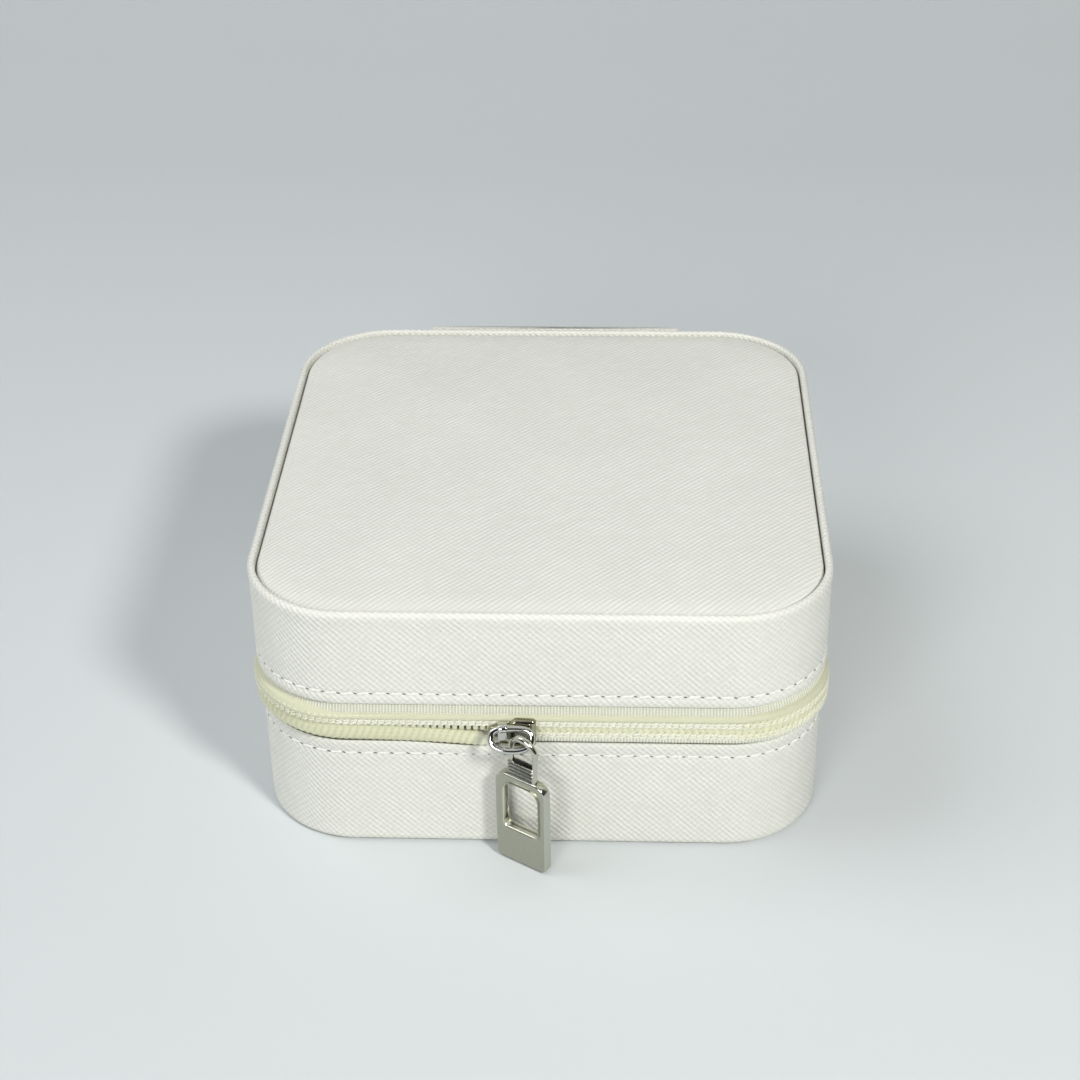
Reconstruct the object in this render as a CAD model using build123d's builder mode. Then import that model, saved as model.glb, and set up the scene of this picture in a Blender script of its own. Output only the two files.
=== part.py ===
from build123d import *

import os
from math import cos, radians, sin

# Zip-round travel jewellery case, a rounded square on plan, in millimetres.
# +Z is up, the front with the pull tab faces -Y, and the origin is the middle of the underside.
# "Depth" is the distance inwards from the outside of the lid's walls.

# Case
case_width = 100.0
case_length = 102.0
case_height = 49.5
corner_radius = 17.5
base_edge = 22.9  # height of the upper edge of the base's leather
lid_edge = 30.8  # height of the lower edge of the lid's leather
zip_mid = 26.0  # height of the zip's centre line, where the lid parts from the base

# Wall build-up
leather = 0.7
hem = 0.5  # leather skived and folded back behind an edge
hem_height = 3.6
collar_depth = 3.2  # depth of the back of the velvet inner walls
collar = 1.0
glue_line = 0.05
soft_gap = 0.3  # left between the lid's and the base's soft pieces
wrap_turn_in = 6.0  # width of the wall leather folded under the bottom board
edge_round = 1.0  # rounding of the leather along the bottom edge
rim_round = 0.6

# Boards and padding
bottom_board = 2.0
floor_pad = 1.5
top_board = 1.8
foam = 1.2
inner_panel = 1.0
panel_gap = 0.25  # open line between the rim and the padded top panel
panel_drop = 0.4  # the top panel's surface lies this far below the rim
panel_round = 0.6

# Zip
tape = 0.5
tape_hold = 3.1  # tape sewn in behind the leather's edge
tape_bow = 0.5  # the tape stands out this much at the coils
tape_setback = 0.3  # the tape's edge stops short of the coil's heads
coil = 1.1
coil_height = 1.9
coil_gap = 0.8  # between the two coil rails, where their teeth mesh
coil_round = 0.35
tape_tuck = 5.0  # tape hidden under each side of the hinge patch

# Hinge patch
patch_width = 50.0
patch = 1.0
patch_low = 4.0
patch_round = 3.0

# Slider
slider_x = -4.2
slider_length = 8.2
slider_height = 5.8
slider_nose = 3.2
slider_tail = 5.5
slider_shoulder = 2.6  # from the nose back to the widest place
slider_blade = 1.2
inner_blade = 0.75
slider_play = 0.1
tape_play = 0.25
post_length = 1.7
post_setback = 0.3
slider_round = 0.5
crown_width = 1.6
crown_shift = -1.5  # the crown stands towards the slider's nose
crown_rise = 1.9  # height of the ring's wire above the zip's centre line
crown_wall = 0.6
crown_foot = 0.7
crown_foot_drop = 0.4

# Pull ring
ring_wire = 1.2
ring_width = 8.1
ring_reach = 3.8  # between the wire centres of its two long sides
ring_far_radius = 1.1
ring_near_radius = 1.9
ring_droop = 53.0
ring_play = 0.05
hook_angle = 15.0  # where the tab hangs on the ring's front right bend

# Pull tab
tab_yaw = 32.5
tab_width = 10.4
tab_height = 18.8
tab_thickness = 1.9
tab_top_radius = 2.2
tab_bottom_radius = 1.0
tab_bevel = 0.35
window_width = 7.0
window_height = 9.7
window_sill = 7.2
window_radius = 0.8
window_top_radius = 2.0
neck_width = 5.3
neck_height = 3.0
neck_thickness = 1.6
groove_count = 4
groove_radius = 0.22
arch_height = 5.6
arch_wire = 1.0
hook_slack = 1.2  # free height between the ring's wire and the top of the arch
hook_shift = 0.3  # the arch's middle hangs this far left of the ring's wire

# Base fittings
roll_count = 7
roll_length = 34.0
roll_height = 16.5
roll_gap = 0.3
roll_round = 5.0
divider = 2.2
divider_height = 16.0
cell_count = 3
fit_gap = 0.2

# Lid fittings
strip_length = 62.0
strip_width = 9.0
strip = 1.0
strip_from_front = 15.0
knob_count = 3
knob_pitch = 22.0
knob_flange_radius = 3.0
knob_flange = 0.6
knob_stem_radius = 1.1
knob_stem = 4.2
knob_cap_radius = 2.6
knob_cap = 1.2
pocket_width = 76.0
pocket_length = 50.0
pocket_height = 6.0
pocket_cloth = 0.8
pocket_radius = 10.0
pocket_from_rear = 8.5
elastic_width = 5.0
elastic = 0.7

# Depths and heights that follow from the sizes above
base_inset = hem
tape_depth = base_inset + leather
board_rebate_depth = tape_depth + tape
coil_depth = tape_depth - tape_bow
coil_face_depth = coil_depth - coil
cavity_depth = collar_depth + collar
floor_level = leather + bottom_board + floor_pad
collar_foot = leather + bottom_board
lower_parting = zip_mid - soft_gap / 2
upper_parting = zip_mid + soft_gap / 2
lower_coil_low = zip_mid - coil_gap / 2 - coil_height
upper_coil_low = zip_mid + coil_gap / 2
upper_coil_high = upper_coil_low + coil_height
panel_depth = tape_depth + panel_gap
panel_top = case_height - panel_drop
frame_top = panel_top - leather - foam - top_board
lid_floor = frame_top - inner_panel
front = case_length / 2
half_width = case_width / 2

os.makedirs("parts", exist_ok=True)


def plan(depth, mode=Mode.ADD):
    """The case's outline on plan at a depth inside the lid's walls."""
    RectangleRounded(case_width - 2 * depth, case_length - 2 * depth, corner_radius - depth, mode=mode)


def slab(depth, low, high, mode=Mode.ADD):
    """A flat piece with the case's outline, between two heights."""
    with BuildSketch(Plane.XY.offset(low)) as face:
        plan(depth)
    extrude(face.sketch, amount=high - low, mode=mode)


def wall(outer, inner, low, high, mode=Mode.ADD):
    """An upright wall that follows the case's outline, between two depths and two heights."""
    with BuildSketch(Plane.XY.offset(low)) as ring:
        plan(outer)
        plan(inner, mode=Mode.SUBTRACT)
    extrude(ring.sketch, amount=high - low, mode=mode)


def at_front(depth):
    """A plane in the front wall at a depth, facing outwards, with Z as its second axis."""
    return Plane.XZ.offset(front - depth)


def zip_route(end):
    """The way of the zip round the case, from one end behind the hinge patch to the other."""
    corners = [
        (end, front),
        (half_width, front),
        (half_width, -front),
        (-half_width, -front),
        (-half_width, front),
        (-end, front),
    ]
    with BuildLine() as route:
        FilletPolyline(*corners, radius=corner_radius)
    return route.wires()[0]


def zip_section(end):
    """The plane across the zip at the start of its route: first axis outwards, second axis up."""
    return Plane(origin=(end, front, 0), x_dir=(0, 1, 0), z_dir=(1, 0, 0))


def swept_tape(hidden_end, edge, coil_side, inner_end):
    """A zip tape: straight behind the leather, then bowed out to carry its coil."""
    end = patch_width / 2 - tape_tuck
    outline = [
        (-tape_depth, hidden_end),
        (-tape_depth, edge),
        (-coil_depth, coil_side),
        (-coil_depth, inner_end),
        (-coil_depth - tape, inner_end),
        (-coil_depth - tape, coil_side),
        (-tape_depth - tape, edge),
        (-tape_depth - tape, hidden_end),
    ]
    with BuildSketch(zip_section(end)) as section:
        with BuildLine():
            Polyline(*outline, close=True)
        make_face()
    sweep(section.sketch, path=zip_route(end))


def swept_coil(low):
    """A coil rail: the envelope of the coil's loops on one tape."""
    end = patch_width / 2 + soft_gap
    with BuildSketch(zip_section(end)) as section:
        with Locations((-(coil_depth + coil_face_depth) / 2, low + coil_height / 2)):
            RectangleRounded(coil, coil_height, coil_round)
    sweep(section.sketch, path=zip_route(end))


def save(piece, label):
    """Label one finished piece and write its STEP file."""
    piece.label = label
    export_step(piece, "parts/" + label + ".step")


# ---------------------------------------------------------------- base

with BuildPart() as base_outer_wrap:
    wall(base_inset, tape_depth, 0, base_edge)
    wall(base_inset, tape_depth + wrap_turn_in, 0, leather)
    underside = base_outer_wrap.faces().sort_by(Axis.Z)[0]
    fillet(underside.outer_wire().edges(), edge_round)
save(base_outer_wrap.part, "base_outer_wrap")

with BuildPart() as base_bottom_cover:
    slab(tape_depth + wrap_turn_in + panel_gap, 0, leather)
save(base_bottom_cover.part, "base_bottom_cover")

with BuildPart() as base_bottom_board:
    slab(tape_depth + glue_line, leather, leather + bottom_board)
save(base_bottom_board.part, "base_bottom_board")

with BuildPart() as base_board_frame:
    wall(tape_depth + glue_line, collar_depth - glue_line, collar_foot, base_edge)
    wall(
        tape_depth - glue_line,
        board_rebate_depth + glue_line,
        base_edge - tape_hold - glue_line,
        base_edge,
        mode=Mode.SUBTRACT,
    )
save(base_board_frame.part, "base_board_frame")

with BuildPart() as base_inner_wall:
    wall(collar_depth, cavity_depth, collar_foot, lower_parting)
save(base_inner_wall.part, "base_inner_wall")

with BuildPart() as base_floor_pad:
    slab(cavity_depth + fit_gap, collar_foot, floor_level)
save(base_floor_pad.part, "base_floor_pad")

cavity_half_width = half_width - cavity_depth - fit_gap
cavity_half_length = front - cavity_depth - fit_gap
roll_pitch = 2 * cavity_half_length / roll_count
roll_width = roll_pitch - roll_gap
for index in range(roll_count):
    roll_y = -cavity_half_length + (index + 0.5) * roll_pitch
    with BuildPart() as ring_roll:
        with BuildSketch(Plane.YZ.offset(-cavity_half_width)) as roll_face:
            with Locations((roll_y, floor_level + roll_height / 2)):
                Rectangle(roll_width, roll_height)
            fillet(roll_face.vertices().group_by(Axis.Y)[-1], roll_round)
        extrude(amount=roll_length)
        slab(cavity_depth + fit_gap, floor_level, floor_level + roll_height, mode=Mode.INTERSECT)
    save(ring_roll.part, "ring_roll_" + str(index + 1))

long_divider_x = -cavity_half_width + roll_length + roll_gap
with BuildPart() as long_divider:
    with BuildSketch(Plane.XY.offset(floor_level)):
        with Locations((long_divider_x, 0)):
            Rectangle(divider, 2 * cavity_half_length, align=(Align.MIN, Align.CENTER))
    extrude(amount=divider_height)
save(long_divider.part, "long_divider")

cell_left = long_divider_x + divider
cell_pitch = 2 * cavity_half_length / cell_count
for index, cross_name in enumerate(["cross_divider_front", "cross_divider_rear"]):
    cross_y = -cavity_half_length + (index + 1) * cell_pitch
    with BuildPart() as cross_divider:
        with BuildSketch(Plane.XY.offset(floor_level)):
            with Locations((cell_left, cross_y)):
                Rectangle(cavity_half_width - cell_left, divider, align=(Align.MIN, Align.CENTER))
        extrude(amount=divider_height)
    save(cross_divider.part, cross_name)

with BuildPart() as zip_tape_lower:
    swept_tape(base_edge - tape_hold, base_edge, lower_coil_low, zip_mid - coil_gap / 2 - tape_setback)
save(zip_tape_lower.part, "zip_tape_lower")

with BuildPart() as zip_coil_lower:
    swept_coil(lower_coil_low)
save(zip_coil_lower.part, "zip_coil_lower")

with BuildPart() as hinge_patch_base:
    with BuildSketch(Plane.XZ.offset(base_inset - front)) as patch_face:
        with Locations((0, (patch_low + lower_parting) / 2)):
            Rectangle(patch_width, lower_parting - patch_low)
        fillet(patch_face.vertices().group_by(Axis.Y)[0], patch_round)
    extrude(amount=-patch)
save(hinge_patch_base.part, "hinge_patch_base")

# ---------------------------------------------------------------- lid

with BuildPart() as lid_outer_wrap:
    wall(0, leather, lid_edge, case_height)
    wall(0, tape_depth, lid_edge, lid_edge + hem_height)
    wall(0, tape_depth, frame_top, case_height)
    rim = lid_outer_wrap.faces().sort_by(Axis.Z)[-1]
    fillet(rim.outer_wire().edges(), rim_round)
save(lid_outer_wrap.part, "lid_outer_wrap")

with BuildPart() as lid_board_frame:
    wall(leather + glue_line, collar_depth - glue_line, lid_edge, frame_top)
    wall(
        leather - glue_line,
        board_rebate_depth + glue_line,
        lid_edge,
        lid_edge + hem_height + glue_line,
        mode=Mode.SUBTRACT,
    )
save(lid_board_frame.part, "lid_board_frame")

with BuildPart() as lid_top_board:
    slab(panel_depth + leather + glue_line, frame_top, frame_top + top_board)
save(lid_top_board.part, "lid_top_board")

with BuildPart() as lid_foam:
    slab(panel_depth + leather + glue_line, frame_top + top_board, panel_top - leather)
save(lid_foam.part, "lid_foam")

with BuildPart() as lid_top_cover:
    slab(panel_depth, frame_top, panel_top)
    slab(panel_depth + leather, frame_top, panel_top - leather, mode=Mode.SUBTRACT)
    crown_face = lid_top_cover.faces().sort_by(Axis.Z)[-1]
    fillet(crown_face.outer_wire().edges(), panel_round)
save(lid_top_cover.part, "lid_top_cover")

with BuildPart() as lid_inner_panel:
    slab(collar_depth + glue_line, lid_floor, frame_top)
save(lid_inner_panel.part, "lid_inner_panel")

with BuildPart() as lid_inner_wall:
    wall(collar_depth, cavity_depth, upper_parting, lid_floor)
save(lid_inner_wall.part, "lid_inner_wall")

strip_y = -front + strip_from_front
with BuildPart() as knob_strip:
    with BuildSketch(Plane.XY.offset(lid_floor)):
        with Locations((0, strip_y)):
            RectangleRounded(strip_length, strip_width, strip_width / 3)
    extrude(amount=-strip)
save(knob_strip.part, "knob_strip")

knob_seat = lid_floor - strip
for index, knob_name in enumerate(["necklace_knob_left", "necklace_knob_middle", "necklace_knob_right"]):
    knob_x = (index - (knob_count - 1) / 2) * knob_pitch
    with BuildPart() as necklace_knob:
        with Locations((knob_x, strip_y, knob_seat)):
            Cylinder(knob_flange_radius, knob_flange, align=(Align.CENTER, Align.CENTER, Align.MAX))
            Cylinder(
                knob_stem_radius,
                knob_flange + knob_stem + knob_cap,
                align=(Align.CENTER, Align.CENTER, Align.MAX),
            )
        with Locations((knob_x, strip_y, knob_seat - knob_flange - knob_stem)):
            Cylinder(knob_cap_radius, knob_cap, align=(Align.CENTER, Align.CENTER, Align.MAX))
        fillet(necklace_knob.edges().group_by(Axis.Z)[0], knob_cap / 2)
    save(necklace_knob.part, knob_name)

pocket_rear = front - pocket_from_rear
pocket_mouth = pocket_rear - pocket_length
with BuildPart() as pocket_sleeve:
    with BuildSketch(Plane.XY.offset(lid_floor)) as pocket_plan:
        with Locations((0, pocket_mouth)):
            Rectangle(pocket_width, pocket_length, align=(Align.CENTER, Align.MIN))
        fillet(pocket_plan.vertices().group_by(Axis.Y)[-1], pocket_radius)
    extrude(amount=-(pocket_height + pocket_cloth))
    with BuildSketch(Plane.XY.offset(lid_floor)) as pocket_hollow:
        with Locations((0, pocket_mouth)):
            Rectangle(
                pocket_width - 2 * pocket_cloth,
                pocket_length - pocket_cloth,
                align=(Align.CENTER, Align.MIN),
            )
        fillet(pocket_hollow.vertices().group_by(Axis.Y)[-1], pocket_radius - pocket_cloth)
    extrude(amount=-pocket_height, mode=Mode.SUBTRACT)
save(pocket_sleeve.part, "pocket_sleeve")

with BuildPart() as pocket_elastic:
    with BuildSketch(Plane.XY.offset(lid_floor - pocket_height - pocket_cloth)):
        with Locations((0, pocket_mouth)):
            Rectangle(pocket_width, elastic_width, align=(Align.CENTER, Align.MIN))
    extrude(amount=-elastic)
save(pocket_elastic.part, "pocket_elastic")

with BuildPart() as zip_tape_upper:
    swept_tape(lid_edge + tape_hold, lid_edge, upper_coil_high, upper_coil_low + tape_setback)
save(zip_tape_upper.part, "zip_tape_upper")

with BuildPart() as zip_coil_upper:
    swept_coil(upper_coil_low)
save(zip_coil_upper.part, "zip_coil_upper")

with BuildPart() as hinge_patch_lid:
    with BuildSketch(Plane.XZ.offset(-front)):
        with Locations((0, (upper_parting + case_height) / 2)):
            Rectangle(patch_width, case_height - upper_parting)
    extrude(amount=-patch)
save(hinge_patch_lid.part, "hinge_patch_lid")

# ---------------------------------------------------------------- slider, ring and tab

blade_face_depth = coil_face_depth - slider_play
outer_face_depth = blade_face_depth - slider_blade
inner_blade_depth = coil_depth + tape + tape_play
coil_reach = coil_gap / 2 + coil_height + slider_play
ring_y = -(front - outer_face_depth) - ring_wire / 2 - slider_play
ring_z = zip_mid + crown_rise
crown_left = slider_x + crown_shift - crown_width / 2
nose_x = slider_x - slider_length / 2
tail_x = slider_x + slider_length / 2
blade_corners = [
    (tail_x, slider_tail / 2),
    (nose_x + slider_shoulder, slider_height / 2),
    (nose_x, slider_nose / 2),
    (nose_x, -slider_nose / 2),
    (nose_x + slider_shoulder, -slider_height / 2),
    (tail_x, -slider_tail / 2),
]


def blade_outline():
    """The slider's blade: widest at its shoulders, narrower at the nose and the tail."""
    with BuildSketch() as outline:
        with BuildLine():
            Polyline(*blade_corners, close=True)
        make_face()
        fillet(outline.vertices(), slider_round)
    return outline.sketch


with BuildPart() as slider_body:
    with BuildSketch(at_front(blade_face_depth)):
        with Locations((0, zip_mid)):
            add(blade_outline())
    extrude(amount=slider_blade)
    outer_face = slider_body.faces().sort_by(Axis.Y)[0]
    fillet(outer_face.outer_wire().edges(), slider_round)
    # the flange that hooks under the lower coil
    with BuildSketch(at_front(coil_depth - slider_play)):
        with Locations((0, zip_mid)):
            add(blade_outline())
        with Locations((slider_x, zip_mid - coil_reach)):
            Rectangle(2 * slider_length, 2 * slider_height, align=(Align.CENTER, Align.MIN), mode=Mode.SUBTRACT)
    extrude(amount=coil_depth - slider_play - blade_face_depth)
    # the post that parts the two coils, and the blade behind the tapes
    with BuildSketch(at_front(inner_blade_depth)):
        with Locations((nose_x + post_setback, zip_mid)):
            Rectangle(post_length, coil_gap - 2 * slider_play, align=(Align.MIN, Align.CENTER))
    extrude(amount=inner_blade_depth - blade_face_depth)
    with BuildSketch(at_front(inner_blade_depth + inner_blade)):
        with Locations((slider_x, zip_mid)):
            RectangleRounded(slider_length - slider_round, 2 * coil_reach, slider_round)
    extrude(amount=inner_blade)
    # the crown, a bridge with a bore for the ring's wire
    with BuildSketch(Plane.YZ.offset(crown_left)):
        with Locations((ring_y, ring_z)):
            Circle(ring_wire / 2 + ring_play + crown_wall)
        with Locations((-(front - outer_face_depth), zip_mid - crown_foot_drop)):
            Circle(crown_foot)
        make_hull()
    extrude(amount=crown_width)
    with BuildSketch(Plane.YZ.offset(crown_left)):
        with Locations((ring_y, ring_z)):
            Circle(ring_wire / 2 + ring_play)
    extrude(amount=crown_width, mode=Mode.SUBTRACT)
save(slider_body.part, "slider_body")

droop = radians(ring_droop)
ring_half = (ring_width - ring_wire) / 2
ring_plane = Plane(origin=(slider_x, ring_y, ring_z), x_dir=(1, 0, 0), z_dir=(0, sin(droop), -cos(droop)))
with BuildPart() as pull_ring:
    with BuildLine(ring_plane) as half_loop:
        FilletPolyline(
            (0, 0),
            (ring_half, 0),
            (ring_half, ring_reach),
            (0, ring_reach),
            radius=(ring_far_radius, ring_near_radius),
        )
    half_path = half_loop.wires()[0]
    with BuildSketch(Plane(origin=half_path @ 0, z_dir=half_path % 0)) as wire_section:
        Circle(ring_wire / 2)
    sweep(wire_section.sketch, path=half_path)
    mirror(about=Plane.YZ.offset(slider_x))
save(pull_ring.part, "pull_ring")

hook = radians(hook_angle)
hook_point = ring_plane.from_local_coords(
    Vector(
        ring_half - ring_near_radius * (1 - sin(hook)),
        ring_reach - ring_near_radius * (1 - cos(hook)),
        0,
    )
)
yaw = radians(tab_yaw)
tab_plane = Plane(origin=hook_point, x_dir=(cos(yaw), -sin(yaw), 0), z_dir=(-sin(yaw), -cos(yaw), 0))
arch_top = ring_wire / 2 + hook_slack + arch_wire
neck_top = arch_top - arch_height
plate_top = neck_top - neck_height
plate_low = plate_top - tab_height
arch_half = (neck_width - arch_wire) / 2
arch_shoulder = arch_top - arch_wire / 2 - arch_half
with BuildPart() as pull_tab:
    with BuildSketch(tab_plane.offset(-tab_thickness / 2)) as plate_face:
        with Locations((-hook_shift, (plate_low + plate_top) / 2)):
            Rectangle(tab_width, tab_height)
        fillet(plate_face.vertices().group_by(Axis.Y)[-1], tab_top_radius)
        fillet(plate_face.vertices().group_by(Axis.Y)[0], tab_bottom_radius)
    extrude(amount=tab_thickness)
    with BuildSketch(tab_plane.offset(-tab_thickness / 2)) as window_face:
        with Locations((-hook_shift, plate_low + window_sill + window_height / 2)):
            Rectangle(window_width, window_height)
        fillet(window_face.vertices().group_by(Axis.Y)[-1], window_top_radius)
        fillet(window_face.vertices().group_by(Axis.Y)[0], window_radius)
    extrude(amount=tab_thickness, mode=Mode.SUBTRACT)
    broad_faces = pull_tab.faces().filter_by(Axis(hook_point, tab_plane.z_dir))
    chamfer(broad_faces.edges(), tab_bevel)
    with BuildSketch(tab_plane.offset(-neck_thickness / 2)):
        with Locations((-hook_shift, plate_top - tab_bevel)):
            Rectangle(neck_width, neck_height + tab_bevel, align=(Align.CENTER, Align.MIN))
    extrude(amount=neck_thickness)
    groove_pitch = neck_height / (groove_count + 1)
    for index in range(groove_count):
        groove_level = plate_top + (index + 1) * groove_pitch
        for side in (-1, 1):
            groove_start = tab_plane.from_local_coords(
                Vector(-hook_shift - neck_width, groove_level, side * neck_thickness / 2)
            )
            with BuildSketch(Plane(origin=groove_start, z_dir=tab_plane.x_dir)) as groove_section:
                Circle(groove_radius)
            extrude(groove_section.sketch, amount=2 * neck_width, mode=Mode.SUBTRACT)
    arch_left = -hook_shift - arch_half
    arch_right = -hook_shift + arch_half
    arch_foot = neck_top - arch_wire
    with BuildLine(tab_plane) as arch_path:
        Line((arch_left, arch_foot), (arch_left, arch_shoulder))
        ThreePointArc(
            (arch_left, arch_shoulder),
            (-hook_shift, arch_shoulder + arch_half),
            (arch_right, arch_shoulder),
        )
        Line((arch_right, arch_shoulder), (arch_right, arch_foot))
    arch_wire_path = arch_path.wires()[0]
    with BuildSketch(Plane(origin=arch_wire_path @ 0, z_dir=arch_wire_path % 0)) as arch_section:
        Circle(arch_wire / 2)
    sweep(arch_section.sketch, path=arch_wire_path)
save(pull_tab.part, "pull_tab")
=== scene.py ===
import math
import random

import bmesh
import bpy
import numpy as np
from mathutils import Matrix, Vector


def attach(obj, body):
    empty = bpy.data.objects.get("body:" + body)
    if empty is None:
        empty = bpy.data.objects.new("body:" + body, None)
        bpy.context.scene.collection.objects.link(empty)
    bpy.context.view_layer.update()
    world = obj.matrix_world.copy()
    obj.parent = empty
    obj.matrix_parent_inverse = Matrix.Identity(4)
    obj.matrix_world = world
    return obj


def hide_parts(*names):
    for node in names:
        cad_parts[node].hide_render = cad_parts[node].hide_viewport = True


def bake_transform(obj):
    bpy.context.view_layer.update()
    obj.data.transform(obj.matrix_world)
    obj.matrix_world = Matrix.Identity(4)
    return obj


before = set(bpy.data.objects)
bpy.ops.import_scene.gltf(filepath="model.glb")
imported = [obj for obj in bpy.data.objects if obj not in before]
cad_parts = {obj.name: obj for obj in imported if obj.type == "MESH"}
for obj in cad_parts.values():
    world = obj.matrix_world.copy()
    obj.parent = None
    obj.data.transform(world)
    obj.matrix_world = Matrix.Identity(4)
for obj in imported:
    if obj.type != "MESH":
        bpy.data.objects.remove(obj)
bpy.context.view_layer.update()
random.seed(11)

# Sizes in millimetres, as in the frame: the front faces -Y and the zip runs all round.
MM = 0.001
CASE_WIDTH = 100.0
CASE_LENGTH = 102.0
CASE_HEIGHT = 49.5
CORNER = 17.5
HALF_WIDTH = CASE_WIDTH / 2
HALF_LENGTH = CASE_LENGTH / 2
TAPE_DEPTH = 1.2
BASE_INSET = 0.5
BASE_EDGE = 22.9
LID_EDGE = 30.8
LID_SEAM = 33.0
BASE_SEAM = 19.85
ZIP_MID = 26.0
TOOTH_PITCH = 1.19
STITCH_PITCH = 2.8
PANEL_DEPTH = 1.45
FLOOR_LEVEL = 4.2
LID_FLOOR = 44.4
CAVITY_DEPTH = 4.2
SAME = 1e-6


# ---- curves and the way round the case


def spread(start, end, steps):
    """Values from start to end, both included."""
    return [start + (end - start) * k / steps for k in range(steps + 1)]


def circle(count, shift=0.0):
    """Angles of a full turn, evenly spaced."""
    return [2 * math.pi * (k + shift) / count for k in range(count)]


def smooth(low, high, value):
    """0 at low, 1 at high, smooth between them and level beyond them."""
    t = min(1.0, max(0.0, (value - low) / (high - low)))
    return t * t * (3 - 2 * t)


def bell(value, middle, width):
    """1 in the middle, falling away on both sides."""
    return math.exp(-(((value - middle) / width) ** 2))


def rise(t, power):
    """From 0 to 1, steep at first and level at its end."""
    return 1 - (1 - min(1.0, max(0.0, t))) ** power


def signed_power(value, power):
    """A sine or cosine raised to a power below 1 with its sign kept, which makes a circle squarer."""
    return math.copysign(abs(value) ** power, value)


def ridge(value, pitch):
    """Between 0 and 1, highest at every whole pitch."""
    return 0.5 + 0.5 * math.cos(2 * math.pi * value / pitch)


def round_off(half, radius, over):
    """Half the width of a shape with rounded corners, at a distance past the start of the rounding."""
    if over <= 0:
        return half
    return half - radius + math.sqrt(max(0.0, radius**2 - over**2))


ARC_RUN = math.pi * CORNER / 2
FRONT_STRAIGHT = CASE_WIDTH - 2 * CORNER
SIDE_STRAIGHT = CASE_LENGTH - 2 * CORNER
SIDE_PARTS = [(True, ARC_RUN), (False, SIDE_STRAIGHT), (True, ARC_RUN)]
REAR_PART = [(False, FRONT_STRAIGHT / 2)]
ROUTE_PARTS = REAR_PART + SIDE_PARTS + [(False, FRONT_STRAIGHT)] + SIDE_PARTS + REAR_PART
PERIMETER = sum(length for _, length in ROUTE_PARTS)
FRONT_MIDDLE = PERIMETER / 2


def route(run):
    """Point and outward normal on plan at a run from the middle of the back, by way of the left side."""
    run %= PERIMETER
    x, y, heading = 0.0, HALF_LENGTH, math.pi
    for turning, length in ROUTE_PARTS:
        part = min(run, length)
        if turning:
            centre_x, centre_y = x - CORNER * math.sin(heading), y + CORNER * math.cos(heading)
            heading += part / CORNER
            x, y = centre_x + CORNER * math.sin(heading), centre_y - CORNER * math.cos(heading)
        else:
            x, y = x + part * math.cos(heading), y + part * math.sin(heading)
        run -= part
        if run <= 0:
            break
    return x, y, math.sin(heading), -math.cos(heading)


def front_run(x):
    """The run of a point on the straight front wall."""
    return FRONT_MIDDLE + x


def runs_every(step, start=0.0, end=None):
    """Runs about a step apart: the whole way round, or from a start to an end."""
    if end is None:
        return spread(0.0, PERIMETER, round(PERIMETER / step))[:-1]
    return spread(start, end, max(1, round((end - start) / step)))


# ---- mesh helpers


def finish_mesh(name, verts, faces, uvs=None, sharp=50):
    """An object with smooth shading from points in millimetres."""
    mesh = bpy.data.meshes.new(name)
    mesh.from_pydata((np.asarray(verts, float) * MM).tolist(), [], faces)
    if uvs is not None:
        layer = mesh.uv_layers.new(name="UVMap")
        layer.data.foreach_set("uv", np.asarray(uvs, np.float32).ravel())
    work = bmesh.new()
    work.from_mesh(mesh)
    bmesh.ops.recalc_face_normals(work, faces=work.faces)
    work.to_mesh(mesh)
    work.free()
    mesh.polygons.foreach_set("use_smooth", [True] * len(mesh.polygons))
    mesh.set_sharp_from_angle(angle=math.radians(sharp))
    piece = bpy.data.objects.new(name, mesh)
    bpy.context.collection.objects.link(piece)
    return piece


def grid(name, points, uv, close_u, close_v, cap=False, sharp=50):
    """A piece from rows of points. uv has one more row or column where the grid closes."""
    points, uv = np.asarray(points, float), np.asarray(uv, float)
    m, n = points.shape[:2]
    faces, uvs = [], []
    for i in range(m if close_u else m - 1):
        i2 = (i + 1) % m
        for j in range(n if close_v else n - 1):
            j2 = (j + 1) % n
            faces.append((i * n + j, i2 * n + j, i2 * n + j2, i * n + j2))
            uvs += [uv[i][j], uv[i + 1][j], uv[i + 1][j + 1], uv[i][j + 1]]
    verts = points.reshape(-1, 3).tolist()
    for row in (0, m - 1) if cap else ():
        verts.append(points[row].mean(0).tolist())
        centre_uv = uv[row][:n].mean(0)
        for j in range(n):
            faces.append((row * n + j, row * n + (j + 1) % n, len(verts) - 1))
            uvs += [uv[row][j], uv[row][j + 1], centre_uv]
    return finish_mesh(name, verts, faces, uvs, sharp)


def plain_uv(rows, columns):
    """UVs for a closed grid whose material doesn't read them."""
    return [[(float(i), float(k)) for k in range(columns + 1)] for i in range(rows + 1)]


def band(name, profile, runs, closed=True):
    """A piece that runs round the case. profile(run) gives (depth, height) points round its section."""
    rows = []
    for run in runs:
        x, y, nx, ny = route(run)
        rows.append([(x - nx * d, y - ny * d, z) for d, z in profile(run)])
    section = profile(runs[0])
    lengths = [0.0]
    for a, b in zip(section, section[1:] + section[:1]):
        lengths.append(lengths[-1] + math.dist(a, b))
    all_runs = list(runs) + ([PERIMETER] if closed else [])
    uv = [[(run, v) for v in lengths] for run in all_runs]
    return grid(name, rows, uv, closed, True, cap=not closed)


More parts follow.
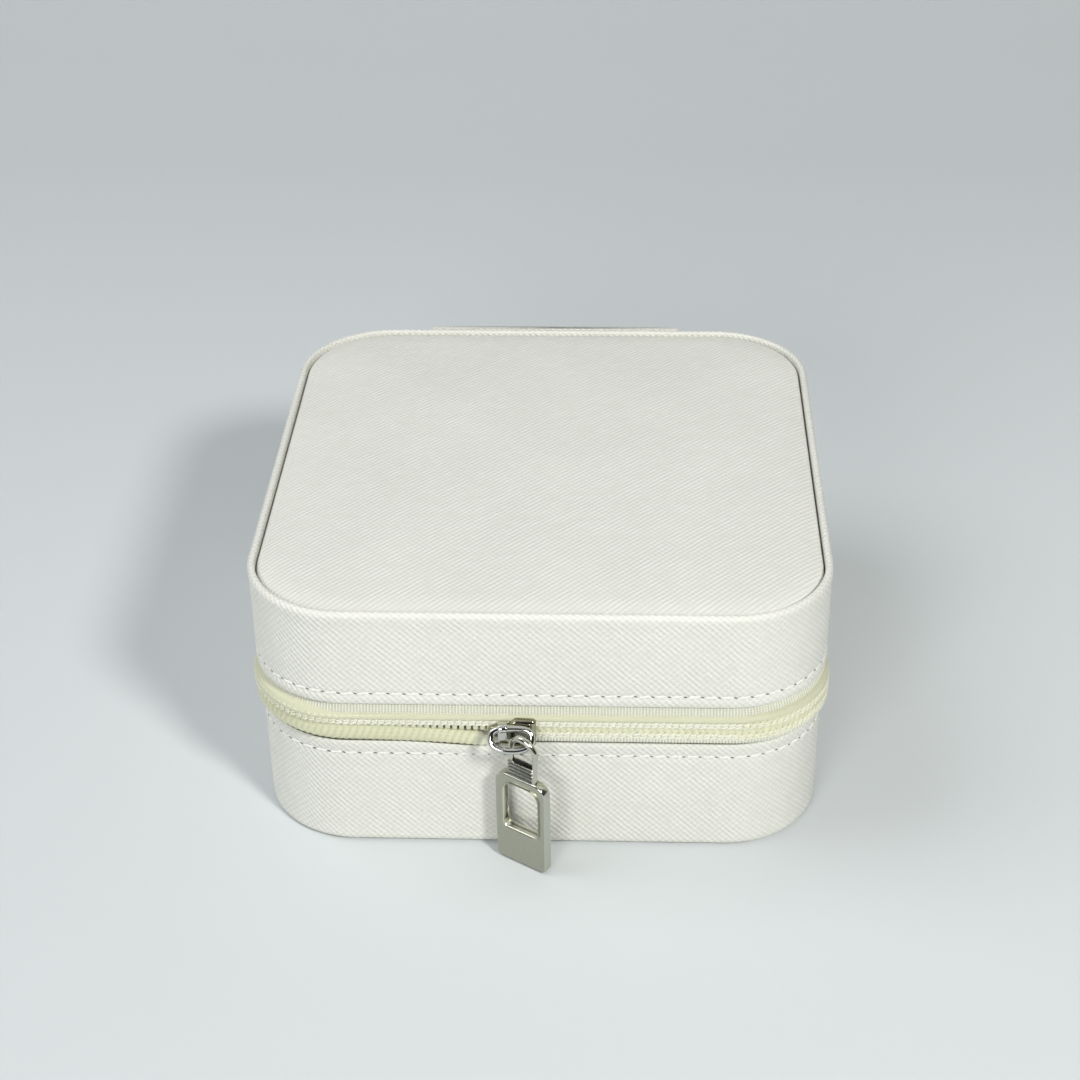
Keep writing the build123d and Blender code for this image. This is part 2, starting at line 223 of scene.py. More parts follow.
def loft(name, rings, sharp=60):
    """A closed piece through rings of the same number of points, with flat ends."""
    rings = np.asarray(rings, float)
    middle = rings[len(rings) // 2]
    around = np.cumsum([0.0, *np.linalg.norm(np.roll(middle, -1, 0) - middle, axis=1)])
    along = np.cumsum([0.0, *np.linalg.norm(np.diff(rings.mean(1), axis=0), axis=1)])
    uv = [[(v, w) for w in around] for v in along]
    return grid(name, rings, uv, False, True, cap=True, sharp=sharp)


def rectangle(x0, y0, x1, y1):
    return [(x0, y0), (x1, y0), (x1, y1), (x0, y1)]


def rounded(corners, radii, steps=5):
    """A closed outline with its corners rounded, by one radius or by one for each corner."""
    out = []
    count = len(corners)
    radii = radii if isinstance(radii, list) else [radii] * count
    for i, (corner, radius) in enumerate(zip(corners, radii)):
        here = Vector(corner)
        if radius <= 0:
            out.append(tuple(here))
            continue
        a = (Vector(corners[i - 1]) - here).normalized()
        b = (Vector(corners[(i + 1) % count]) - here).normalized()
        half = a.angle(b) / 2
        reach = radius / math.tan(half)
        middle = here + (a + b).normalized() * (radius / math.sin(half))
        first, last = here + a * reach - middle, here + b * reach - middle
        sweep = first.angle(last)
        for t in spread(0, 1, steps):
            p = (first * math.sin((1 - t) * sweep) + last * math.sin(t * sweep)) / math.sin(sweep)
            out.append(tuple(middle + p))
    return out


def capsule(half, radius_along, radius_up, radius_out):
    """Points and faces of a rounded bar along its first axis."""
    around, least = 8, 1e-5
    verts, faces = [], []
    for side, angles in ((-half, (-90, -60, -30, 0)), (half, (0, 30, 60, 90))):
        for angle in angles:
            a = math.radians(angle)
            for b in circle(around):
                up, out = radius_up * math.cos(a) + least, radius_out * math.cos(a) + least
                verts.append((side + radius_along * math.sin(a), up * math.cos(b), out * math.sin(b)))
    for i in range(len(verts) // around - 1):
        for k in range(around):
            a, b = i * around + k, i * around + (k + 1) % around
            faces.append((a, b, b + around, a + around))
    return verts, faces


def copies(name, shape, spots):
    """One piece made of many small copies: each spot is (run, depth, height, tilt in the wall's plane)."""
    verts, faces = [], []
    for run, depth, height, tilt in spots:
        x, y, nx, ny = route(run)
        start = len(verts)
        c, s = math.cos(tilt), math.sin(tilt)
        for along, up, out in shape[0]:
            a, u = along * c - up * s, along * s + up * c
            d = out - depth
            verts.append((x - ny * a + nx * d, y + nx * a + ny * d, height + u))
        faces += [tuple(start + k for k in f) for f in shape[1]]
    return finish_mesh(name, verts, faces, sharp=60)


# ---- materials


class Nodes:
    """A node tree under construction: nodes are added with their inputs already set."""

    def __init__(self, tree):
        self.tree = tree

    def set(self, node, socket, value):
        target = node.inputs[socket]
        if isinstance(value, bpy.types.NodeSocket):
            self.tree.links.new(value, target)
        else:
            target.default_value = value

    def node(self, kind, inputs, output=0, **settings):
        made = self.tree.nodes.new("ShaderNode" + kind)
        for key, value in settings.items():
            setattr(made, key, value)
        for socket, value in inputs.items():
            self.set(made, socket, value)
        return made.outputs[output]

    def math(self, operation, a, b=0.0):
        return self.node("Math", {0: a, 1: b}, operation=operation)

    def add(self, a, b):
        return self.math("ADD", a, b)

    def times(self, a, b):
        return self.math("MULTIPLY", a, b)

    def split(self, vector, axis):
        return self.node("SeparateXYZ", {0: vector}, output=axis)

    def ramp(self, value, low, high, low_to=0.0, high_to=1.0):
        return self.node("MapRange", {0: value, 1: low, 2: high, 3: low_to, 4: high_to})

    def mix(self, factor, a, b):
        a, b = ((*value, 1.0) if isinstance(value, tuple) else value for value in (a, b))
        return self.node("Mix", {0: factor, 6: a, 7: b}, output=2, data_type="RGBA")


class Shade(Nodes):
    """A material under construction."""

    def __init__(self, name, colour, roughness, **sockets):
        self.material = bpy.data.materials.new(name)
        self.material.use_nodes = True
        super().__init__(self.material.node_tree)
        self.shader = self.tree.nodes["Principled BSDF"]
        self.give("Base Color", (*colour, 1.0))
        self.give("Roughness", roughness)
        for socket, value in sockets.items():
            self.give(socket.replace("_", " "), value)

    def give(self, socket, value):
        self.set(self.shader, socket, value)

    def uv(self):
        """The piece's UVs, in millimetres of its own surface."""
        return self.node("UVMap", {}, uv_map="UVMap")

    def place(self):
        """The place on the object, in metres."""
        return self.node("TexCoord", {}, output=3)

    def noise(self, vector, scale, detail=2.0, roughness=0.5):
        inputs = {"Vector": vector, "Scale": scale, "Detail": detail, "Roughness": roughness}
        return self.node("TexNoise", inputs)

    def wave(self, value, pitch, shape="SINE"):
        return self.math(shape, self.times(value, 2 * math.pi / pitch))

    def bump(self, height, distance, strength=1.0):
        inputs = {"Height": height, "Distance": distance * MM, "Strength": strength}
        self.give("Normal", self.node("Bump", inputs))

    def tint(self, value, low, high, dark, colour):
        """Mixes the base colour from dark to colour as the value rises, and returns it."""
        tone = self.mix(self.ramp(value, low, high), dark, colour)
        self.give("Base Color", tone)
        return tone


CREAM = (0.79, 0.794, 0.75)
CREAM_GROOVE = (0.675, 0.675, 0.615)
GRAIN_PITCH = 0.87
WEAVE_PITCH = 0.42
RIB_PITCH = 0.54


def leather(name, lean, crossing, depth):
    """Cross-grained leather: two sets of fine ridges at 45 degrees, wavy and fading here and there.

    lean is 1 or -1, the side that the stronger set leans to, and crossing the strength of the other set.
    """
    s = Shade(name, CREAM, 0.5, Specular_IOR_Level=0.35)
    uv = s.uv()
    u, v = s.split(uv, 0), s.split(uv, 1)
    wide, near = s.noise(uv, 0.16), s.noise(uv, 0.7)
    ridges = []
    for sign, strong, offset in ((lean, 1.0, 0.0), (-lean, crossing, 31.0)):
        across = s.times(s.add(u, s.times(v, sign)), 1 / (GRAIN_PITCH * math.sqrt(2)))
        bend = s.add(s.times(wide, 0.5 * sign), s.times(near, 0.22))
        ridge = s.math("POWER", s.ramp(s.wave(s.add(across, bend), 1), -1, 1), 1.4)
        shifted = s.node("VectorMath", {0: uv, 1: (offset, offset, 0)}, operation="ADD")
        fade = s.ramp(s.noise(shifted, 0.35), 0.32, 0.62, 0.35, 1.0)
        ridges.append(s.times(s.times(ridge, fade), strong))
    pores = s.noise(uv, 5.0, 3.0, 0.6)
    height = s.add(s.add(*ridges), s.times(pores, 0.35))
    s.bump(height, depth)
    tone = s.mix(s.ramp(height, 0.2, 1.3), CREAM_GROOVE, CREAM)
    patches = s.ramp(s.noise(uv, 0.05, 3.0), 0.35, 0.65, 0.965, 1.0)
    s.give("Base Color", s.node("VectorMath", {0: tone, 3: patches}, operation="SCALE"))
    s.give("Roughness", s.ramp(height, 0.2, 1.3, 0.6, 0.44))
    return s.material


def woven(name, colour, dark, warp, weft, depth):
    """Cloth with threads both ways, at their pitches in millimetres."""
    s = Shade(name, colour, 0.8, Sheen_Weight=0.15, Specular_IOR_Level=0.25)
    uv = s.uv()
    threads = s.times(s.wave(s.split(uv, 0), warp), s.wave(s.split(uv, 1), weft))
    fuzz = s.noise(uv, 4.0, 3.0, 0.6)
    height = s.add(s.ramp(threads, -1, 1), s.times(fuzz, 0.5))
    s.bump(height, depth)
    s.tint(s.add(height, s.times(s.noise(uv, 0.08), 0.5)), 0.3, 1.5, dark, colour)
    return s.material


def ribbed(name, colour, dark, pitch, lean=0.0, turn=None):
    """The zip's tape: ribs across it, upright or leaning, and a fine weave along it, with painted shade in
    the gaps between the ribs.

    turn is (from run, to run, colour): the colour that it turns to further along.
    """
    s = Shade(name, colour, 0.75, Sheen_Weight=0.1, Specular_IOR_Level=0.25)
    uv = s.uv()
    u, v = s.split(uv, 0), s.split(uv, 1)
    ribs = s.wave(s.math("SUBTRACT", u, s.times(v, lean)), pitch, "COSINE")
    height = s.add(s.ramp(ribs, -1, 1, 0, 0.8), s.ramp(s.wave(v, WEAVE_PITCH), -1, 1, 0, 0.2))
    height = s.add(height, s.times(s.noise(uv, 3.0, 3.0, 0.6), 0.5))
    s.bump(height, 0.05)
    # The tone darkens with the height of the ribs and weave: painted shade in the gaps between them.
    tone = s.tint(height, 0.25, 0.95, dark, colour)
    if turn:
        start, end, later = turn
        s.give("Base Color", s.mix(s.ramp(u, start, end), tone, later))
    return s.material


def velvet(name, colour, dark):
    """Short velvet: soft sheen, a fine nap and slow changes of tone where the nap lies differently."""
    s = Shade(name, colour, 0.95, Sheen_Weight=0.6, Sheen_Roughness=0.4, Specular_IOR_Level=0.1)
    nap, sweep = s.noise(s.place(), 2200.0, 3.0, 0.7), s.noise(s.place(), 60.0, 3.0)
    s.bump(nap, 0.12, 0.7)
    s.tint(s.add(s.times(nap, 0.4), s.times(sweep, 0.6)), 0.3, 0.7, dark, colour)
    return s.material


def thread(name, colour, dark):
    """Sewing thread with a fine twist."""
    s = Shade(name, colour, 0.55, Sheen_Weight=0.2)
    twist = s.noise(s.place(), 2600.0)
    s.bump(twist, 0.05)
    s.tint(twist, 0.3, 0.7, dark, colour)
    return s.material


def nylon(name, colour, dark):
    """The coil's nylon: smooth and slightly translucent."""
    s = Shade(name, colour, 0.38, Subsurface_Weight=0.15, Subsurface_Scale=0.4 * MM)
    cloud = s.noise(s.place(), 500.0)
    s.tint(cloud, 0.35, 0.65, dark, colour)
    s.give("Roughness", s.ramp(cloud, 0.3, 0.7, 0.32, 0.46))
    return s.material


def metal(name, colour, roughness, brushed=0.0):
    """Plated metal: mirror bright, or satin with a fine brushed grain."""
    s = Shade(name, colour, roughness, Metallic=1.0)
    smudge = s.noise(s.place(), 1200.0, 3.0)
    s.give("Roughness", s.ramp(smudge, 0.3, 0.7, roughness * 0.9, roughness * 1.12))
    if brushed:
        stretched = s.node("VectorMath", {0: s.place(), 1: (1.0, 1.0, 0.12)}, operation="MULTIPLY")
        s.bump(s.noise(stretched, 9000.0), brushed, 0.5)
    return s.material


def board(name, colour, dark):
    """Board, foam or the leather's dark top edge, with short fibres."""
    s = Shade(name, colour, 0.9, Specular_IOR_Level=0.2)
    fibres = s.noise(s.place(), 1800.0, 4.0, 0.7)
    s.bump(fibres, 0.05)
    s.tint(fibres, 0.3, 0.7, dark, colour)
    return s.material


# Where the zip's closed part begins, at the left end of the slider.
SLIDER_NOSE = front_run(-8.3)

leather_wall = leather("cream_leather_wall", 1.0, 0.66, 0.082)
leather_panel = leather("cream_leather_panel", -1.0, 0.22, 0.085)
tape_cloth = ribbed("zip_tape_cloth", (0.73, 0.735, 0.645), (0.52, 0.53, 0.43), RIB_PITCH)
cord_cloth = woven("zip_cord_cloth", (0.625, 0.629, 0.472), (0.535, 0.54, 0.388), RIB_PITCH, 0.5, 0.04)
open_turn = (SLIDER_NOSE - 3.0, SLIDER_NOSE + 1.0, (0.68, 0.685, 0.59))
open_cloth = ribbed(
    "zip_open_cloth", (0.645, 0.65, 0.465), (0.535, 0.545, 0.37), TOOTH_PITCH, lean=0.7, turn=open_turn
)
coil_nylon = nylon("zip_coil_nylon", (0.70, 0.70, 0.51), (0.655, 0.655, 0.465))
coil_thread = thread("coil_thread", (0.795, 0.79, 0.71), (0.70, 0.695, 0.60))
corner_thread = thread("coil_thread_corner", (0.75, 0.75, 0.62), (0.66, 0.66, 0.51))
# Near black for the top faces of the base leather's edge.
dark_top_edge = board("leather_cut_edge", (0.26, 0.255, 0.19), (0.12, 0.12, 0.085))
seam_thread = thread("seam_thread", (0.84, 0.835, 0.80), (0.74, 0.735, 0.69))
# Near black for the needle holes: painted shade.
hole_painted_shade = thread("seam_hole_painted_shade", (0.10, 0.095, 0.085), (0.05, 0.05, 0.045))
bright_nickel = metal("bright_nickel", (0.60, 0.60, 0.57), 0.06)
polished_nickel = metal("polished_nickel", (0.56, 0.56, 0.49), 0.15)
neck_nickel = metal("neck_nickel", (0.40, 0.405, 0.355), 0.27)
# Near black metal for the neck's grooves: painted shade between its ridges.
groove_painted_shade_nickel = metal("groove_painted_shade_nickel", (0.13, 0.13, 0.105), 0.3)
satin_nickel = metal("satin_nickel", (0.43, 0.43, 0.36), 0.3, brushed=0.006)
# Lighter, rougher metal for the window's inner faces: a painted reflection of the cream leather.
window_painted_reflection_nickel = metal("window_painted_reflection_nickel", (0.80, 0.79, 0.66), 0.32)
# Near black metal for the blade's front face: painted shade from the ring and the arch, and a painted dark
# reflection.
blade_painted_shade_nickel = metal("blade_painted_shade_nickel", (0.13, 0.13, 0.105), 0.08)
slider_nickel = metal("slider_nickel", (0.36, 0.35, 0.255), 0.1)
# Near black for the neck's slot: painted shade.
slot_painted_shade = board("slot_painted_shade", (0.05, 0.05, 0.045), (0.03, 0.03, 0.03))
velvet_cream = velvet("velvet_cream", (0.72, 0.66, 0.55), (0.60, 0.54, 0.44))
grey_board = board("grey_board", (0.36, 0.33, 0.28), (0.27, 0.245, 0.20))
pale_foam = board("pale_foam", (0.74, 0.71, 0.60), (0.66, 0.63, 0.52))
elastic_cloth = woven("elastic_cloth", (0.76, 0.74, 0.66), (0.60, 0.58, 0.50), 0.5, 0.5, 0.08)


def dress(piece, material, body, node=None):
    """Gives a piece its material, the body that it rides on and the CAD node that it stands for."""
    piece.data.materials.append(material)
    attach(piece, body)
    if node:
        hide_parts(node)
    return piece


def paint(piece, material, chosen):
    """Gives another material to the faces that chosen(centre in millimetres, face) picks."""
    piece.data.materials.append(material)
    for face in piece.data.polygons:
        if chosen(face.center / MM, face):
            face.material_index = len(piece.data.materials) - 1


def coat(node_name, material):
    """Gives a CAD node that stays in the scene its material."""
    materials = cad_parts[node_name].data.materials
    materials.clear()
    materials.append(material)


# ---- leather round the walls

HEM_TOP = 34.4
RIM_HEM = 45.4
LEATHER = 0.7
WALL_STEPS = 44


def seam_dent(height, seam):
    """How far the thread pulls the leather in beside its seam."""
    return 0.16 * bell(height, seam, 0.42)


def shaped_wall(outline, radii, face_depth, dent):
    """A wall's section. Its outer face is cut finely, and dent(height) is how far it goes in."""
    points = rounded(outline, radii)
    out = []
    for p, q in zip(points, points[1:] + points[:1]):
        on_face = abs(p[0] - face_depth) < SAME and abs(q[0] - face_depth) < SAME
        out += [p] + [(face_depth, z) for z in spread(p[1], q[1], WALL_STEPS)[1:-1] if on_face]
    return [(d + dent(z), z) if abs(d - face_depth) < SAME else (d, z) for d, z in out]


def lid_dent(height):
    swelling = 0.10 * bell(height, LID_EDGE + 1.1, 0.6) + 0.12 * bell(height, CASE_HEIGHT - 1.2, 1.4)
    return seam_dent(height, LID_SEAM) - swelling


def lid_wall_profile(run):
    outline = [(TAPE_DEPTH, HEM_TOP), (TAPE_DEPTH, LID_EDGE), (0, LID_EDGE), (0, CASE_HEIGHT)]
    outline += [(TAPE_DEPTH, CASE_HEIGHT), (TAPE_DEPTH, RIM_HEM), (LEATHER, RIM_HEM), (LEATHER, HEM_TOP)]
    return shaped_wall(outline, [0.1, 0.3, 0.35, 0.62, 0.45, 0.1, 0.1, 0.1], 0.0, lid_dent)


lid_leather = band("lid_wall_leather", lid_wall_profile, runs_every(1.0))
dress(lid_leather, leather_wall, "lid", "lid_outer_wrap")


def edge_dip(run):
    """The base's edge is a little lower where the zip is open, and pressed down beside the slider."""
    x = run - FRONT_MIDDLE
    return 0.3 - 0.2 * smooth(-12, -2, x) + 0.75 * smooth(-24, -9.5, x) * (1 - smooth(-8.5, 1.5, x))


def base_wall_profile(run):
    edge = BASE_EDGE - edge_dip(run)
    outline = [(7.2, LEATHER), (7.2, 0), (BASE_INSET, 0), (BASE_INSET, edge)]
    outline += [(TAPE_DEPTH, edge), (TAPE_DEPTH, LEATHER)]

    def dent(height):
        return seam_dent(height, BASE_SEAM) - 0.12 * bell(height, edge - 1.0, 0.7)

    return shaped_wall(outline, [0.1, 0.2, 1.3, 0.33, 0.2, 0.0], BASE_INSET, dent)


base_leather = band("base_wall_leather", base_wall_profile, runs_every(1.0))
dress(base_leather, leather_wall, "base", "base_outer_wrap")
# The upward faces of the base leather's top edge are coloured near black, which draws a thin dark line under
# the lower tape.
paint(base_leather, dark_top_edge, lambda centre, face: centre.z > 21.0 and face.normal.z > 0.86)


# How far the threads of a level row and the needle holes lean, in degrees.
THREAD_LEAN = 7
HOLE_LEAN = -20


def sew(name, body, threads, holes, hole_out):
    """A row of short sunk threads, and between them small near black marks that paint the shade in the
    needle holes.
    """
    row = copies(name + "_thread", capsule(0.6, 0.4, 0.26, 0.2), threads)
    dress(row, seam_thread, body)
    row = copies(name + "_painted_hole_shade", capsule(0.16, 0.24, 0.19, hole_out), holes)
    dress(row, hole_painted_shade, body)


def seam(name, body, depth, height):
    """A row of stitches right round, each with a small slanted needle hole at its end, drawn as a near black
    mark of painted shade.
    """
    count = round(PERIMETER / STITCH_PITCH)
    pitch = PERIMETER / count
    threads, holes = [], []
    for k in range(count):
        run = (k + 0.5) * pitch + random.uniform(-0.08, 0.08)
        level = height + random.uniform(-0.05, 0.05)
        threads.append((run, depth + 0.02, level, math.radians(THREAD_LEAN + random.uniform(-3, 3))))
        turn = math.radians(HOLE_LEAN + random.uniform(-6, 6))
        holes.append((run + pitch / 2, depth + 0.1, level, turn))
    sew(name, body, threads, holes, 0.16)


seam("lid_seam", "lid", 0.14, LID_SEAM)
seam("base_seam", "base", BASE_INSET + 0.14, BASE_SEAM)


# ---- padded top panel and bottom cover

SPOKES = 22


def edge_distance(x, y, depth):
    """How far a point on plan lies inside the case's outline at a depth."""
    radius = max(0.01, CORNER - depth)
    ax = abs(x) - (HALF_WIDTH - depth - radius)
    ay = abs(y) - (HALF_LENGTH - depth - radius)
    outside = math.hypot(max(ax, 0), max(ay, 0)) + min(max(ax, ay), 0)
    return radius - outside


def flat(height):
    return lambda x, y: height


def plate(name, depth, rings, first_face, last_face):
    """A closed plate with the case's outline.

    rings are (inset, height) from the rim of one face to the rim of the other, and first_face and last_face
    give the height of each face at a point on plan.
    """
    plan = [route(run) for run in runs_every(1.5)]

    def outline(inset, height):
        d = depth + inset
        return [(x - nx * d, y - ny * d, height) for x, y, nx, ny in plan]

    def inwards(row, height_of):
        shares = [1 - k / SPOKES * 0.999 for k in range(1, SPOKES + 1)]
        return [[(x * t, y * t, height_of(x * t, y * t)) for x, y, _ in row] for t in shares]

    side = [outline(*ring) for ring in rings]
    rows = np.array(inwards(side[0], first_face)[::-1] + side + inwards(side[-1], last_face))
    uv = np.concatenate([rows[:, :, :2], rows[:, :1, :2]], axis=1)
    return grid(name, rows, uv, False, True, cap=True)


PANEL_LOW = 45.5
PANEL_RIM = 48.75
PANEL_CROWN = 0.85


def panel_height(x, y):
    """The padding rises quickly beside the rim and slowly towards the middle."""
    inside = edge_distance(x, y, PANEL_DEPTH)
    return PANEL_RIM + 0.5 * rise(inside / 4.5, 2.0) + PANEL_CROWN * rise(inside / 34, 2.0)


panel_rings = [(0.9, PANEL_LOW), (0.1, PANEL_LOW), (0.0, 46.2), (0.0, 48.1), (0.10, 48.45), (0.28, 48.66)]
for inset in (0.5, 0.8, 1.2, 1.7, 2.3, 3.0, 3.8, 4.8, 6.0, 7.5, 9.0, 11.0, 13.0):
    panel_rings.append((inset, panel_height(HALF_WIDTH - PANEL_DEPTH - inset, 0)))
top_panel = plate("lid_top_padded_panel", PANEL_DEPTH, panel_rings, flat(PANEL_LOW), panel_height)
dress(top_panel, leather_panel, "lid", "lid_top_cover")

bottom_rings = [(0.4, 0.68), (0.0, 0.6), (0.0, 0.3), (0.15, 0.06), (0.35, 0.0)]
bottom = plate("base_bottom_leather", 7.45, bottom_rings, flat(0.68), flat(0.0))
dress(bottom, leather_panel, "base", "base_bottom_cover")


# ---- zip

ZIP_START = 20.0
ZIP_END = PERIMETER - ZIP_START
COIL_START = 24.2
COIL_END = PERIMETER - COIL_START
TURNS = int((COIL_END - COIL_START) / TOOTH_PITCH)


def opened(run):
    """1 on the side of the slider where the zip is still open, 0 where it is closed."""
    return (1 - smooth(SLIDER_NOSE - 1.5, SLIDER_NOSE + 4.0, run)) * smooth(25.5, 33.0, run)


def sag(run):
    """The open lower coil is pressed down by the slider and rises again further on."""
    return opened(run) * math.exp(-max(0.0, SLIDER_NOSE - run) / 11)


def at_corner(run):
    """1 in the middle of a rounded corner, 0 on the straight walls."""
    _, _, nx, ny = route(run)
    return smooth(0.0, 0.45, min(abs(nx), abs(ny)))


def at_end(run):
    """1 where the zip's ends dive under the hinge patch."""
    return 1 - smooth(25.0, 28.0, min(run, PERIMETER - run))


def tape_section(face, thickness=0.45):
    """A closed section from the (depth, height) points of the tape's outer face."""
    return face + [(d + thickness, z) for d, z in reversed(face)]


def upper_tape_profile(run):
    face = [(1.2, 33.9), (1.2, 31.0), (0.95, 30.7), (0.66, 30.2), (0.42, 29.6), (0.22, 29.1)]
    face += [(0.25, 28.75), (0.70, 28.4), (0.70, 26.9)]
    rib = 0.15 * ridge(run, RIB_PITCH) * (1 - at_end(run))
    return tape_section([(d - (rib if 28.7 < z < 31.2 else 0), z) for d, z in face])


CLOSED_FACE = [(1.2, 19.9), (1.2, 22.3), (1.15, 22.9), (0.75, 23.25), (0.1, 23.5), (-0.38, 23.8)]
CLOSED_FACE += [(-0.46, 24.2), (-0.40, 24.48), (-0.2, 24.62), (0.1, 24.65)]
OPEN_FACE = [(1.2, 19.9), (1.2, 22.4), (1.15, 22.95), (0.35, 23.35), (-0.08, 24.0), (-0.14, 24.7)]
OPEN_FACE += [(-0.12, 25.4), (-0.02, 26.1), (0.22, 26.6), (0.60, 26.85)]
# For each point of the lower tape's face: how far it drops and how far it bulges where the zip sags, and how
# far the coil's loops press it out where the zip is open.
SAG = (0.0, 0.0, 0.1, 1.0, 1.15, 1.35, 1.6, 1.8, 2.1, 2.2)
HANG = (0.0, 0.0, 0.5, 0.42, 0.2, 0.1, 0.0, 0.0, 0.0, 0.0)
LOOPS = (0.0, 0.0, 0.0, 0.2, 0.26, 0.16, 0.13, 0.13, 0.13, 0.1)
LOOP_LEAN = 0.7


def lower_tape_profile(run):
    open_part, drop = opened(run), sag(run)
    shift = 0.8 * at_end(run) - 0.3 * at_corner(run)
    face = []
    for a, b, sagging, hang, loop in zip(CLOSED_FACE, OPEN_FACE, SAG, HANG, LOOPS):
        d = a[0] + (b[0] - a[0]) * open_part + shift * smooth(22.9, 23.8, a[1]) - drop * hang
        z = a[1] + (b[1] - a[1]) * open_part - drop * sagging
        ribs = 0.14 * ridge(run, RIB_PITCH) * (1 - open_part) if 22.4 < z < 24.6 else 0.0
        ribs += loop * ridge(run - LOOP_LEAN * (z - 24), TOOTH_PITCH) * open_part
        face.append((d - ribs, z))
    return tape_section(face)


def cord_profile(run):
    """The tape's smooth edge over the back of the upper coil. It gapes at the corners, most at the left."""
    corner = at_corner(run)
    loose = 0.0 if run > FRONT_MIDDLE else 1.0
    face = [(0.6, 29.0), (0.08, 28.95), (-0.22, 28.8), (-0.42, 28.55), (-0.50, 28.25), (-0.47, 27.98)]
    face += [(-0.32, 27.86), (0.0, 27.84)]
    raised = []
    for k, (d, z) in enumerate(face):
        d += (0.45 * at_end(run) - 0.35 * corner) * (1 if k else 0)
        z += corner * (0.4 + 0.45 * loose) * max(0.0, 1 - k / 3.5) - 0.25 * corner * loose * (k > 4)
        raised.append((d, z + 0.3 * corner * (1 - loose) * (29.0 - z)))
    return tape_section(raised, 0.3)


tape_runs = runs_every(RIB_PITCH / 4, ZIP_START, ZIP_END)
closed_runs = [run for run in tape_runs if run >= SLIDER_NOSE + 1]
open_runs = [run for run in tape_runs if run <= SLIDER_NOSE + 1.2]
upper_tape = band("zip_tape_upper_woven", upper_tape_profile, tape_runs, closed=False)
dress(upper_tape, tape_cloth, "lid", "zip_tape_upper")
cord_runs = runs_every(1.0, ZIP_START + 1, ZIP_END - 1)
dress(band("zip_tape_upper_cord", cord_profile, cord_runs, closed=False), cord_cloth, "lid")
lower_tape = band("zip_tape_lower_woven", lower_tape_profile, closed_runs, closed=False)
dress(lower_tape, tape_cloth, "base", "zip_tape_lower")
open_tape = band("zip_tape_lower_open", lower_tape_profile, open_runs, closed=False)
dress(open_tape, open_cloth, "base")


def coil_spot(upper, run):
    """Depth, height and lean of a coil's middle."""
    a, drop = opened(run), sag(run)
    out = 0.35 * at_corner(run) - 0.45 * at_end(run)
    if upper:
        return 0.2 + 0.08 * a - out, 27.35, math.radians(16) * a * (1 - math.sqrt(drop))
    return 0.2 + 0.85 * a - out, 24.95 - 0.05 * a - drop, math.radians(48) * a


LOOP_BACK = 0.93
LOOP_REACH = 1.2
LOOP_HALF = 0.30
LOOP_WIDE = 0.60
LOOP_NARROW = 0.22
HEAD_NARROWING = 0.18
WIRE_HALF = 0.28
WIRE_POINTS = 8


def coil_turn():
    """One turn of the wire as (height towards the other coil, distance out, share of the pitch)."""
    bend = spread(math.pi / 4, -math.pi / 4, 2)
    turn = [(h, LOOP_HALF, 0.0) for h in spread(-LOOP_BACK, LOOP_REACH, 5)]
    turn += [(LOOP_REACH + LOOP_HALF * math.cos(a), LOOP_HALF * math.sin(a), 0.0) for a in bend]
    turn += [(h, -LOOP_HALF, (k + 0.5) / 3) for k, h in enumerate(spread(LOOP_REACH, -LOOP_BACK, 2))]
    turn += [(-LOOP_BACK - LOOP_HALF * math.cos(a), -LOOP_HALF * math.sin(a), 1.0) for a in bend]
    return turn


def coil_mesh(name, upper):
    """One coil: a nylon wire in flat loops, narrower at the heads, which reach in between the other's."""
    head, shift = (-1, 0.0) if upper else (1, 0.5)
    centres = []
    for t in range(TURNS):
        centres += [(COIL_START + (t + shift + part) * TOOTH_PITCH, h, o) for h, o, part in coil_turn()]
    rows = []
    for index, (run, h, o) in enumerate(centres):
        before, after = centres[max(0, index - 1)], centres[min(len(centres) - 1, index + 1)]
        th, to = after[1] - before[1], after[2] - before[2]
        size = math.hypot(th, to) or 1.0
        gape = opened(run)
        wide = LOOP_WIDE - HEAD_NARROWING * smooth(0.75 - 0.5 * gape, 0.95 - 0.35 * gape, h)
        wide -= (wide - LOOP_NARROW) * smooth(0.1, -0.2, o)
        depth, height, lean = coil_spot(upper, run)
        x, y, nx, ny = route(run)
        row = []
        for b in circle(WIRE_POINTS, 0.5):
            along = wide * signed_power(math.cos(b), 0.4)
            wire = WIRE_HALF * signed_power(math.sin(b), 0.7) / size
            hh, oo = h - to * wire, o + th * wire
            d = oo * math.cos(lean) - hh * math.sin(lean) - depth
            z = height + head * hh * math.cos(lean) + oo * math.sin(lean)
            row.append((x - ny * along + nx * d, y + nx * along + ny * d, z))
        rows.append(row)
    return grid(name, rows, np.zeros((len(rows), WIRE_POINTS + 1, 2)), False, True, cap=True, sharp=80)


dress(coil_mesh("zip_coil_upper_loops", True), coil_nylon, "lid", "zip_coil_upper")
dress(coil_mesh("zip_coil_lower_loops", False), coil_nylon, "base", "zip_coil_lower")


def beside_corner(centre, face):
    return abs(centre.x) > HALF_WIDTH - CORNER + 2 and abs(centre.y) > HALF_LENGTH - CORNER + 2


def coil_stitches(name, body, upper):
    """The chain of white thread that holds a coil on its tape: two slanted strands to a loop."""
    start, lift = (0.5, -0.02) if upper else (1.0, 0.12)
    spots = []
    for k in range(TURNS):
        run = COIL_START + (k + start) * TOOTH_PITCH
        depth, height, lean = coil_spot(upper, run)
        if not upper and lean > 0.2:
            continue
        for level, along in ((0.27, 0.06), (-0.27, -0.06)):
            middle = height + level + lift + random.uniform(-0.03, 0.03)
            spots.append((run + along, depth - 0.56, middle, math.radians(22 + random.uniform(-4, 4))))
    row = copies(name, capsule(0.36, 0.26, 0.23, 0.26), spots)
    paint(dress(row, coil_thread, body), corner_thread, beside_corner)


